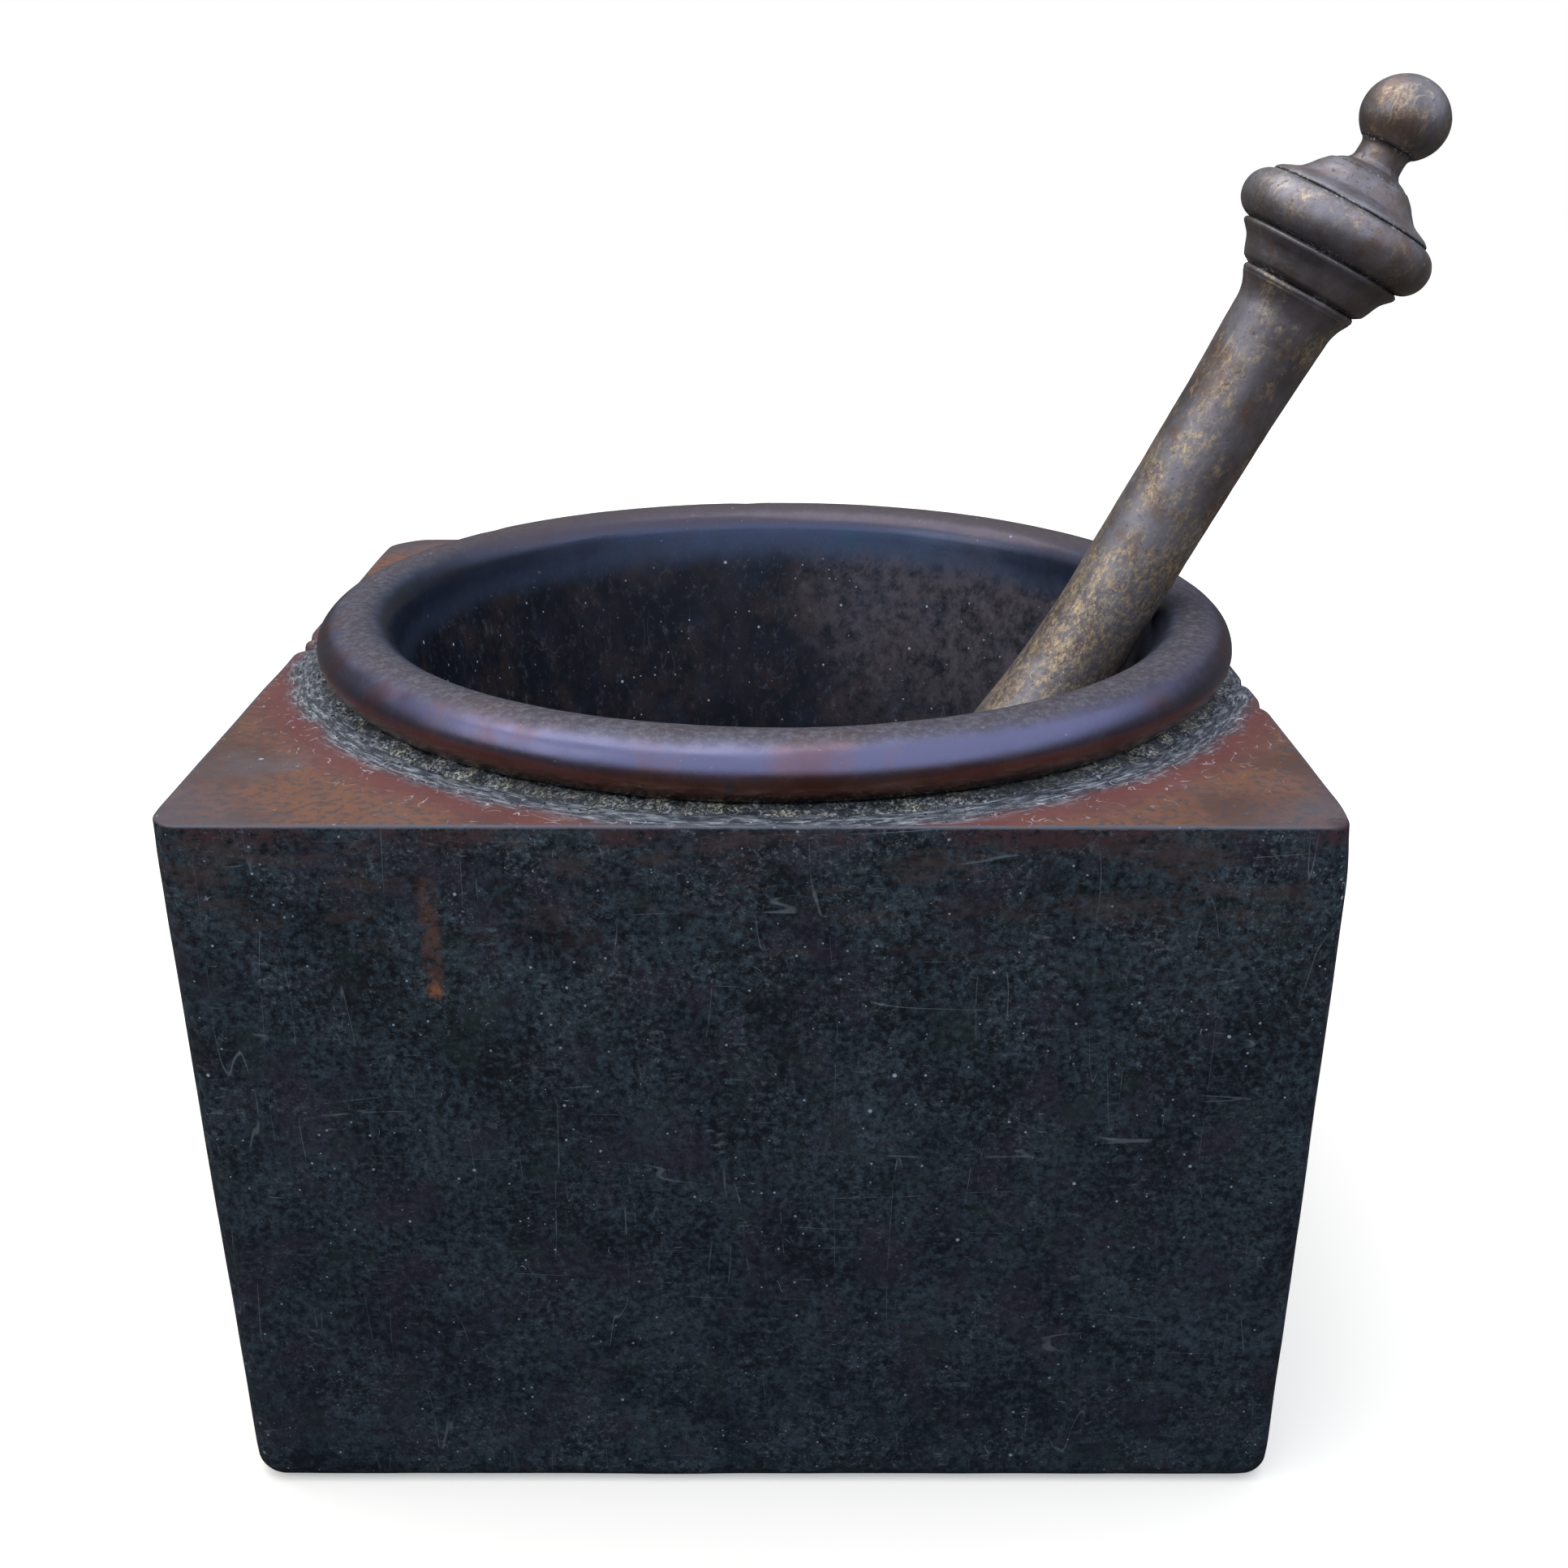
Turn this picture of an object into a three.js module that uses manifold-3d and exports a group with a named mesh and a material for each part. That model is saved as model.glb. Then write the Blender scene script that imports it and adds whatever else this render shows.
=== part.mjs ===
// Block mortar: a square cast block with a turned bowl let into its top, and a turned pestle leaning in the bowl.
// Millimetres, +Z up. The origin is the centre of the block's underside. The front faces -Y.
import * as THREE from 'three'
import { mergeVertices } from 'three/addons/utils/BufferGeometryUtils.js'
import Module from 'manifold-3d'

const wasm = await Module()
wasm.setup()

// ---- driving dimensions ----

const clearance = 0.3

// Block
const blockWidth = 252.5
const blockHeight = 175.5
const blockDraft = 0.015
const verticalEdgeRadius = 5
const baseEdgeRadius = 5
const topEdgeRadius = 1

// Bowl: a round bead rim, a straight wall that leans out and a spherical floor
const bowlCentreX = 4.5
const beadCentreRadius = 111.6
const beadHalfWidth = 9.95
const beadHalfHeight = 7.8
const bowlFloorZ = 40
const bowlThickness = 8
const wallLean = THREE.MathUtils.degToRad(12)
const beadUndersideAngle = THREE.MathUtils.degToRad(-120)

// Bedding: the packing that locks the bowl into its seat and spills out under the bead
const beddingDepth = 24
const seatCollarRadius = 118
const beddingSpillWidth = 12
const beddingShoulderAngle = THREE.MathUtils.degToRad(-52)
const beddingInnerAngle = THREE.MathUtils.degToRad(-113)

// Pestle: radii, and stations along its axis counted from the height of the bead's centre
const leanTilt = THREE.MathUtils.degToRad(27.2)
const leanTurn = THREE.MathUtils.degToRad(-2.75)
const shaftRadius = 12.1
const headRadius = 24
const headLength = 12
const flareTop = 8
const gripTop = 90
const gripTopRadius = 12.85
const trumpetRadius = 15.3
const shaftEnd = 98.6
const bellEnd = 108.1
const torusEnd = 120.2
const domeEnd = 130.9
const neckEnd = 136.3
const tipEnd = 153.8
const bellRadius = 21.3
const torusRadius = 25.7
const neckRadius = 6.1
const ballRadius = 11.05
const rodRadius = 3
const rodGrip = 24

// Roundness of the turned pieces
const bowlSegments = 60
const pestleSegments = 36

// ---- heights and radii that follow from them ----

const beadZ = blockHeight + beadHalfHeight + clearance
const beadTouch = Math.atan(beadHalfHeight / beadHalfWidth * Math.tan(wallLean))
const floorRadius = bowlFloorRadius()
const floorCentreZ = bowlFloorZ + floorRadius
const outerFloorRadius = floorRadius + bowlThickness
const collarFloorZ = blockHeight - beddingDepth

// The floor's sphere touches the wall, and the wall touches the inside of the bead
function bowlFloorRadius() {
  const wallTopRadius = beadCentreRadius - beadHalfWidth * Math.cos(beadTouch)
  const wallTopZ = beadZ + beadHalfHeight * Math.sin(beadTouch)
  const reach = wallTopRadius * Math.cos(wallLean) - (wallTopZ - bowlFloorZ) * Math.sin(wallLean)
  return reach / (1 - Math.sin(wallLean))
}

// Where the bowl's outside wall is, at a height between the floor and the bead
function outerWallRadius(z) {
  const low = new THREE.Vector2(
    outerFloorRadius * Math.cos(wallLean),
    floorCentreZ - outerFloorRadius * Math.sin(wallLean),
  )
  const high = beadPoint(beadUndersideAngle)
  const along = (z - low.y) / (high.y - low.y)
  return THREE.MathUtils.lerp(low.x, high.x, along)
}

function beadPoint(angle) {
  return new THREE.Vector2(
    beadCentreRadius + beadHalfWidth * Math.cos(angle),
    beadZ + beadHalfHeight * Math.sin(angle),
  )
}

// ---- outline helpers: every outline is a list of (radius, height) points ----

function point(radius, height) {
  return new THREE.Vector2(radius, height)
}

// Points on part of an ellipse, both ends included
function arc(centreRadius, centreHeight, halfWidth, halfHeight, fromAngle, toAngle, steps) {
  const points = []
  for (let i = 0; i <= steps; i++) {
    const angle = THREE.MathUtils.lerp(fromAngle, toAngle, i / steps)
    points.push(point(centreRadius + halfWidth * Math.cos(angle), centreHeight + halfHeight * Math.sin(angle)))
  }
  return points
}

// Points on a flare between two points: the radius runs as a power of the height
function sweepOut(fromRadius, fromHeight, toRadius, toHeight, power, steps) {
  const points = []
  for (let i = 0; i <= steps; i++) {
    const along = i / steps
    const radius = THREE.MathUtils.lerp(fromRadius, toRadius, along ** power)
    points.push(point(radius, THREE.MathUtils.lerp(fromHeight, toHeight, along)))
  }
  return points
}

// Points on an S curve between two points: it leaves both ends along the axis
function sCurve(fromRadius, fromHeight, toRadius, toHeight, steps) {
  const points = []
  for (let i = 0; i <= steps; i++) {
    const along = i / steps
    const radius = THREE.MathUtils.lerp(fromRadius, toRadius, THREE.MathUtils.smoothstep(along, 0, 1))
    points.push(point(radius, THREE.MathUtils.lerp(fromHeight, toHeight, along)))
  }
  return points
}

// ---- solids ----

// Revolve an outline about Z. It runs anticlockwise: out along the underside, up, and back in over the top
function turned(outline, segments) {
  return new THREE.LatheGeometry(outline, segments).rotateX(Math.PI / 2)
}

function closedOutline(points) {
  return [...points, points[0].clone()]
}

function toSolid(geometry) {
  const bare = new THREE.BufferGeometry()
  bare.setAttribute('position', geometry.getAttribute('position').clone())
  if (geometry.index) {
    bare.setIndex(geometry.index.clone())
  }
  const welded = mergeVertices(bare, 1e-4)
  return new wasm.Manifold(new wasm.Mesh({
    numProp: 3,
    vertProperties: new Float32Array(welded.getAttribute('position').array),
    triVerts: new Uint32Array(welded.index.array),
  }))
}

function toGeometry(solid) {
  const mesh = solid.getMesh()
  const geometry = new THREE.BufferGeometry()
  geometry.setAttribute('position', new THREE.BufferAttribute(mesh.vertProperties, 3))
  geometry.setIndex(new THREE.BufferAttribute(mesh.triVerts, 1))
  return geometry
}

// ---- the block ----

// One level of the block: a square with rounded corners
function blockLevel(halfWidth, z) {
  const steps = 4
  const ring = []
  for (let corner = 0; corner < 4; corner++) {
    const diagonal = Math.PI / 4 + corner * Math.PI / 2
    const reach = (halfWidth - verticalEdgeRadius) * Math.SQRT2
    for (let i = 0; i <= steps; i++) {
      const angle = diagonal + (i / steps - 0.5) * Math.PI / 2
      ring.push(new THREE.Vector3(
        reach * Math.cos(diagonal) + verticalEdgeRadius * Math.cos(angle),
        reach * Math.sin(diagonal) + verticalEdgeRadius * Math.sin(angle),
        z,
      ))
    }
  }
  return ring
}

function blockHalfWidth(z) {
  return blockWidth / 2 * (1 - blockDraft * (1 - z / blockHeight))
}

// Levels from the underside up: round bottom edge, drafted sides, small round top edge
function blockLevels() {
  const levels = []
  const baseSteps = 5
  for (let i = 0; i <= baseSteps; i++) {
    const angle = i / baseSteps * Math.PI / 2
    const z = baseEdgeRadius * (1 - Math.cos(angle))
    levels.push(blockLevel(blockHalfWidth(z) - baseEdgeRadius * (1 - Math.sin(angle)), z))
  }
  const topSteps = 3
  for (let i = 0; i <= topSteps; i++) {
    const angle = i / topSteps * Math.PI / 2
    const z = blockHeight - topEdgeRadius * (1 - Math.sin(angle))
    levels.push(blockLevel(blockHalfWidth(z) - topEdgeRadius * (1 - Math.cos(angle)), z))
  }
  return levels
}

// Skin a stack of levels that have the same number of points, and cap both ends
function loft(levels) {
  const positions = []
  const around = levels[0].length
  const triangle = (a, b, c) => positions.push(...a.toArray(), ...b.toArray(), ...c.toArray())
  for (let level = 0; level < levels.length - 1; level++) {
    for (let i = 0; i < around; i++) {
      const next = (i + 1) % around
      const [a, b] = [levels[level][i], levels[level][next]]
      const [c, d] = [levels[level + 1][i], levels[level + 1][next]]
      triangle(a, b, d)
      triangle(a, d, c)
    }
  }
  const bottom = levels[0]
  const top = levels[levels.length - 1]
  for (let i = 1; i < around - 1; i++) {
    triangle(bottom[0], bottom[i + 1], bottom[i])
    triangle(top[0], top[i], top[i + 1])
  }
  const geometry = new THREE.BufferGeometry()
  geometry.setAttribute('position', new THREE.Float32BufferAttribute(positions, 3))
  return geometry
}

// The seat follows the bowl's outside, and opens into a wider collar for the bedding
function seatOutline() {
  const radius = outerFloorRadius + clearance
  const above = blockHeight + 10
  return [
    ...arc(0, floorCentreZ, radius, radius, -Math.PI / 2, -wallLean, 14),
    point(outerWallRadius(collarFloorZ) + clearance, collarFloorZ),
    point(seatCollarRadius, collarFloorZ),
    point(seatCollarRadius, above),
    point(0, above),
  ]
}

function block() {
  const seat = turned(seatOutline(), bowlSegments).translate(bowlCentreX, 0, 0)
  return toGeometry(toSolid(loft(blockLevels())).subtract(toSolid(seat)))
}

// ---- the bowl and its bedding ----

function bowl() {
  const beadTop = Math.PI - beadTouch
  const outline = [
    ...arc(0, floorCentreZ, outerFloorRadius, outerFloorRadius, -Math.PI / 2, -wallLean, 12),
    ...arc(beadCentreRadius, beadZ, beadHalfWidth, beadHalfHeight, beadUndersideAngle, beadTop, 16),
    ...arc(0, floorCentreZ, floorRadius, floorRadius, -wallLean, -Math.PI / 2, 12),
  ]
  return turned(outline, bowlSegments).translate(bowlCentreX, 0, 0)
}

// A sleeve down the collar, topped by the part that follows the bead's underside and spills onto the block
function bedding() {
  const sleeveRadius = seatCollarRadius - clearance
  const sleeveFloorZ = collarFloorZ + clearance
  const spillRadius = beadCentreRadius + beddingSpillWidth
  const spillZ = blockHeight + clearance
  const underBead = arc(
    beadCentreRadius, beadZ, beadHalfWidth + clearance, beadHalfHeight + clearance,
    beddingShoulderAngle, beddingInnerAngle, 8,
  )
  const outline = closedOutline([
    point(outerWallRadius(sleeveFloorZ) + clearance, sleeveFloorZ),
    point(sleeveRadius, sleeveFloorZ),
    point(sleeveRadius, spillZ),
    point(spillRadius, spillZ),
    point(spillRadius - 0.4, spillZ + 0.6),
    point(underBead[0].x + 0.8, underBead[0].y),
    ...underBead,
  ])
  const ring = turned(outline, bowlSegments).translate(bowlCentreX, 0, 0)
  const footprintWidth = blockWidth - 2 * topEdgeRadius
  const footprint = new THREE.BoxGeometry(footprintWidth, footprintWidth, blockHeight)
  footprint.translate(0, 0, blockHeight)
  return toGeometry(toSolid(ring).intersect(toSolid(footprint)))
}

// ---- the pestle, upright, with the bead's height at zero ----

// The head's tip touches the bowl's floor: the tip's sphere rests inside the floor's sphere
function headCentreStation() {
  const outwards = leanRadius()
  const up = new THREE.Vector2(Math.sin(leanTilt), Math.cos(leanTilt))
  const start = new THREE.Vector2(outwards, beadZ - floorCentreZ)
  const reach = floorRadius - headRadius - clearance
  const along = start.dot(up)
  return -along - Math.sqrt(along ** 2 - start.lengthSq() + reach ** 2)
}

// How far from the bowl's centre line the pestle's axis is, at the bead's height: the shaft rests on the bead
function leanRadius() {
  const beadSupport = Math.hypot(beadHalfWidth * Math.cos(leanTilt), beadHalfHeight * Math.sin(leanTilt))
  return beadCentreRadius - (beadSupport + shaftRadius + clearance) / Math.cos(leanTilt)
}

// A turned piece with a hole for the rod down its middle
function boredOutline(outside, holeRadius) {
  const low = outside[0].y
  const high = outside[outside.length - 1].y
  return closedOutline([point(holeRadius, low), ...outside, point(holeRadius, high)])
}

function shaft() {
  const headStation = headCentreStation()
  const holeRadius = rodRadius + clearance
  const holeEnd = shaftEnd - rodGrip
  return [
    ...arc(0, headStation, headRadius, headRadius, -Math.PI / 2, 0, 9),
    ...sCurve(headRadius, headStation + headLength, shaftRadius, flareTop, 12),
    point(shaftRadius, shaftEnd / 2),
    point(gripTopRadius, gripTop),
    ...sweepOut(gripTopRadius, gripTop, trumpetRadius, shaftEnd - 1.6, 2, 5).slice(1),
    point(trumpetRadius, shaftEnd),
    point(holeRadius, shaftEnd),
    point(holeRadius, holeEnd),
    point(0, holeEnd),
  ]
}

function bell() {
  const foot = shaftEnd + clearance
  const lip = bellEnd - 1.4
  const shoulder = 17.3
  return boredOutline([
    point(trumpetRadius, foot),
    ...arc(trumpetRadius, foot + 1.9, shoulder - trumpetRadius, 1.9, -Math.PI / 2, 0, 3).slice(1),
    ...sweepOut(shoulder, foot + 1.9, bellRadius, lip, 1.7, 6).slice(1),
    point(bellRadius, bellEnd),
  ], rodRadius + clearance)
}

function torus() {
  const foot = bellEnd + clearance
  const halfHeight = (torusEnd - foot) / 2
  const centreRadius = torusRadius - halfHeight
  const bulge = arc(centreRadius, foot + halfHeight, halfHeight, halfHeight, -Math.PI / 2, Math.PI / 2, 12)
  return boredOutline(bulge, rodRadius + clearance)
}

function dome() {
  const foot = torusEnd + clearance
  const brim = foot + 0.9
  const waistRadius = 15.4
  const waist = brim + 2.7
  return boredOutline([
    point(bellRadius, foot),
    point(bellRadius, brim),
    ...sweepOut(waistRadius, waist, bellRadius, brim, 2.2, 5).reverse().slice(1),
    ...sweepOut(neckRadius + 0.9, domeEnd, waistRadius, waist, 0.7, 6).reverse().slice(1),
  ], rodRadius + clearance)
}

function neck() {
  const foot = domeEnd + clearance
  const flare = 0.6
  const middle = (foot + neckEnd) / 2
  return boredOutline([
    point(neckRadius + flare, foot),
    point(neckRadius, foot + 1),
    point(neckRadius, middle),
    point(neckRadius + flare, neckEnd),
  ], rodRadius + clearance)
}

function ball() {
  const foot = neckEnd + clearance
  const halfHeight = (tipEnd - foot) / 2 + 1.2
  const centre = tipEnd - halfHeight
  const footAngle = Math.asin((foot - centre) / halfHeight)
  const holeRadius = rodRadius + clearance
  const holeEnd = centre + 2
  return [
    point(0, holeEnd),
    point(holeRadius, holeEnd),
    point(holeRadius, foot),
    ...arc(0, centre, ballRadius, halfHeight, footAngle, Math.PI / 2, 13),
  ]
}

function rod() {
  const low = shaftEnd - rodGrip + clearance
  const high = tipEnd - (tipEnd - neckEnd) / 2
  return [point(0, low), point(rodRadius, low), point(rodRadius, high), point(0, high)]
}

// Lean an upright pestle piece against the bead
function leaned(outline) {
  return turned(outline, pestleSegments)
    .rotateY(leanTilt)
    .translate(leanRadius(), 0, 0)
    .rotateZ(leanTurn)
    .translate(bowlCentreX, 0, beadZ)
}

// ---- materials and the assembly ----

const castIron = () => new THREE.MeshStandardMaterial({ color: 0x33383d, metalness: 0.6, roughness: 0.55 })
const darkBronze = () => new THREE.MeshStandardMaterial({ color: 0x4f4650, metalness: 0.8, roughness: 0.35 })
const wornBronze = () => new THREE.MeshStandardMaterial({ color: 0x7a6a5a, metalness: 0.8, roughness: 0.4 })
const mortarBed = () => new THREE.MeshStandardMaterial({ color: 0x8d9284, metalness: 0, roughness: 0.95 })
const steel = () => new THREE.MeshStandardMaterial({ color: 0x8a8d90, metalness: 0.9, roughness: 0.4 })

const group = new THREE.Group()

function add(name, geometry, material) {
  const mesh = new THREE.Mesh(geometry, material)
  mesh.name = name
  group.add(mesh)
}

add('mortar_block', block(), castIron())
add('mortar_bowl', bowl(), darkBronze())
add('bedding_ring', bedding(), mortarBed())
add('pestle_shaft', leaned(shaft()), wornBronze())
add('handle_bell', leaned(bell()), wornBronze())
add('handle_torus', leaned(torus()), wornBronze())
add('handle_dome', leaned(dome()), wornBronze())
add('handle_neck', leaned(neck()), wornBronze())
add('handle_ball', leaned(ball()), wornBronze())
add('handle_rod', leaned(rod()), steel())

export default group
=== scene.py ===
import math

import bmesh
import bpy
from mathutils import Matrix, Quaternion, Vector, noise


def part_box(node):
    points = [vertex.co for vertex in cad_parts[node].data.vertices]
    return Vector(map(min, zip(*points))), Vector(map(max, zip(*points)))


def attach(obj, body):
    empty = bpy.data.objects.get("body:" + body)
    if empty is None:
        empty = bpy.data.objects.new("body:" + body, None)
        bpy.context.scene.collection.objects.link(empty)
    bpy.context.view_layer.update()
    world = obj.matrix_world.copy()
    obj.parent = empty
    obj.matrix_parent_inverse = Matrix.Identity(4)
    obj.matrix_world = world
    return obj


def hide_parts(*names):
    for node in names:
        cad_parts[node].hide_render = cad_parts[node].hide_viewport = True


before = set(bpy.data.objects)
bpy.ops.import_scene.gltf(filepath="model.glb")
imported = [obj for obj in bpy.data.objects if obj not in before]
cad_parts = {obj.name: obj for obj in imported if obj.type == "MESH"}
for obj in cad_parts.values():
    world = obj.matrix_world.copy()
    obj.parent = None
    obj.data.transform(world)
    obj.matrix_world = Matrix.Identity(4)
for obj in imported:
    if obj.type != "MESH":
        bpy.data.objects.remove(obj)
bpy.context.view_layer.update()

MM = 0.001

# ---- what the frame says ----

block_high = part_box("mortar_block")[1]
bowl_low, bowl_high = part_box("mortar_bowl")
bedding_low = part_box("bedding_ring")[0]

BLOCK_TOP = block_high.z
BLOCK_HALF = block_high.x
BOWL_CENTRE = Vector(((bowl_low.x + bowl_high.x) / 2, (bowl_low.y + bowl_high.y) / 2, 0))
RIM_RADIUS = (bowl_high.x - bowl_low.x) / 2

# Bead rim: its section is an oval
BEAD_HALF_WIDTH = 0.0819 * RIM_RADIUS
BEAD_HALF_HEIGHT = 7.8 * MM
BEAD_RADIUS = RIM_RADIUS - BEAD_HALF_WIDTH
BEAD_Z = bowl_high.z - BEAD_HALF_HEIGHT

# Bowl body
WALL_LEAN_DEGREES = 12
WALL_LEAN = math.radians(WALL_LEAN_DEGREES)
BOWL_WALL = 8 * MM
BOWL_FLOOR_Z = bowl_low.z + BOWL_WALL
COLLAR_RADIUS = 118 * MM
COLLAR_DEPTH = BLOCK_TOP - bedding_low.z


def ring_centres(node):
    """Centres of the two ends of a straight bar in the frame."""
    points = [v.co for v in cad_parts[node].data.vertices]
    middle = sum(points, Vector()) / len(points)
    ends = [sum(end, Vector()) / len(end) for end in (
        [p for p in points if p.z < middle.z],
        [p for p in points if p.z >= middle.z],
    )]
    return ends


rod_low, rod_high = ring_centres("handle_rod")
PESTLE_AXIS = (rod_high - rod_low).normalized()
PESTLE_PLACE = Matrix.Translation(rod_low) @ PESTLE_AXIS.to_track_quat("Z", "Y").to_matrix().to_4x4()


def span(node):
    """(lowest station, highest station, widest radius) of a pestle node along the pestle's axis."""
    low, high, radius = 1e9, -1e9, 0
    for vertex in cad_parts[node].data.vertices:
        arm = vertex.co - rod_low
        station = arm.dot(PESTLE_AXIS)
        low, high = min(low, station), max(high, station)
        radius = max(radius, (arm - station * PESTLE_AXIS).length)
    return low, high, radius


# ---- mesh helpers ----

def arc(centre, half, start, stop, steps):
    """Points of part of an oval, both ends included, angles in degrees."""
    points = []
    for i in range(steps + 1):
        angle = math.radians(start + (stop - start) * i / steps)
        points.append((centre[0] + half[0] * math.cos(angle), centre[1] + half[1] * math.sin(angle)))
    return points


def curve(start, stop, power, steps):
    """Points from start to stop whose radius runs as a power of the height."""
    points = []
    for i in range(steps + 1):
        along = i / steps
        radius = start[0] + (stop[0] - start[0]) * along ** power
        points.append((radius, start[1] + (stop[1] - start[1]) * along))
    return points


def s_curve(start, stop, steps):
    """Points from start to stop along an S that leaves both ends upright."""
    points = []
    for i in range(steps + 1):
        along = i / steps
        ease = along * along * (3 - 2 * along)
        points.append((start[0] + (stop[0] - start[0]) * ease, start[1] + (stop[1] - start[1]) * along))
    return points


def smooth_between(a, b, c, d, t):
    """The value at t on a smooth curve from b to c, with a before them and d after."""
    linear = (c - a) * t
    square = (2 * a - 5 * b + 4 * c - d) * t ** 2
    cube = (3 * b - a - 3 * c + d) * t ** 3
    return 0.5 * (2 * b + linear + square + cube)


def through(knots, steps=6):
    """A smooth curve through the knots."""
    ends = [knots[0]] + list(knots) + [knots[-1]]
    points = []
    for before, start, stop, after in zip(ends, ends[1:], ends[2:], ends[3:]):
        for i in range(steps):
            corners = zip(before, start, stop, after)
            points.append(tuple(smooth_between(a, b, c, d, i / steps) for a, b, c, d in corners))
    return points + [knots[-1]]


def refine(outline, spacing, closed=False):
    """The outline with points no further apart than spacing."""
    fine = []
    following = outline[1:] + outline[:1] if closed else outline[1:]
    for (r0, z0), (r1, z1) in zip(outline, following):
        steps = max(1, math.ceil(math.hypot(r1 - r0, z1 - z0) / spacing))
        fine += [(r0 + (r1 - r0) * i / steps, z0 + (z1 - z0) * i / steps) for i in range(steps)]
    return fine if closed else fine + [outline[-1]]


def make_object(name, vertices, faces, sharp=50):
    """A smooth-shaded object, with edges sharper than that many degrees left crisp."""
    mesh = bpy.data.meshes.new(name)
    mesh.from_pydata(vertices, [], faces)
    mesh.validate()
    work = bmesh.new()
    work.from_mesh(mesh)
    bmesh.ops.recalc_face_normals(work, faces=work.faces)
    work.to_mesh(mesh)
    work.free()
    mesh.shade_smooth()
    mesh.set_sharp_from_angle(angle=math.radians(sharp))
    piece = bpy.data.objects.new(name, mesh)
    bpy.context.scene.collection.objects.link(piece)
    return piece


def lathe(name, outline, segments, closed=False, sharp=50):
    """Revolve an outline of (radius, height) about Z. An open outline starts and ends on the axis."""
    vertices, rings, faces = [], [], []
    for radius, height in outline:
        if radius < 1e-7:
            rings.append([len(vertices)] * segments)
            vertices.append((0, 0, height))
            continue
        rings.append(list(range(len(vertices), len(vertices) + segments)))
        for i in range(segments):
            angle = 2 * math.pi * i / segments
            vertices.append((radius * math.cos(angle), radius * math.sin(angle), height))
    pairs = list(zip(rings, rings[1:]))
    if closed:
        pairs.append((rings[-1], rings[0]))
    for lower, upper in pairs:
        for i in range(segments):
            j = (i + 1) % segments
            corners = []
            for corner in (lower[i], lower[j], upper[j], upper[i]):
                if corner not in corners:
                    corners.append(corner)
            faces.append(corners)
    return make_object(name, vertices, faces, sharp)


def displace(piece, amount):
    """Move every vertex along its normal by amount(point), in metres."""
    normals = [n.vector.copy() for n in piece.data.vertex_normals]
    moved = [v.co + n * amount(v.co) for v, n in zip(piece.data.vertices, normals)]
    for vertex, point in zip(piece.data.vertices, moved):
        vertex.co = point
    piece.data.update()


def lumps(point, size, octaves=3, seed=0.0):
    """Smooth noise from about -1 to 1 with features of that size in metres."""
    return noise.fractal(point / size + Vector((seed, seed * 1.7, -seed)), 1.0, 2.0, octaves)


def nearness(point, spot, reach):
    """1 at the spot, falling to 0 at that reach in millimetres."""
    return max(0.0, 1 - (point - spot).length / (reach * MM))


def finish_piece(piece, material, body, node=None):
    """Give a piece its material and body, and hide the CAD node that it stands for."""
    piece.data.materials.append(material)
    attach(piece, body)
    if node:
        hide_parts(node)
    return piece


# ---- shader helpers ----

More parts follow.
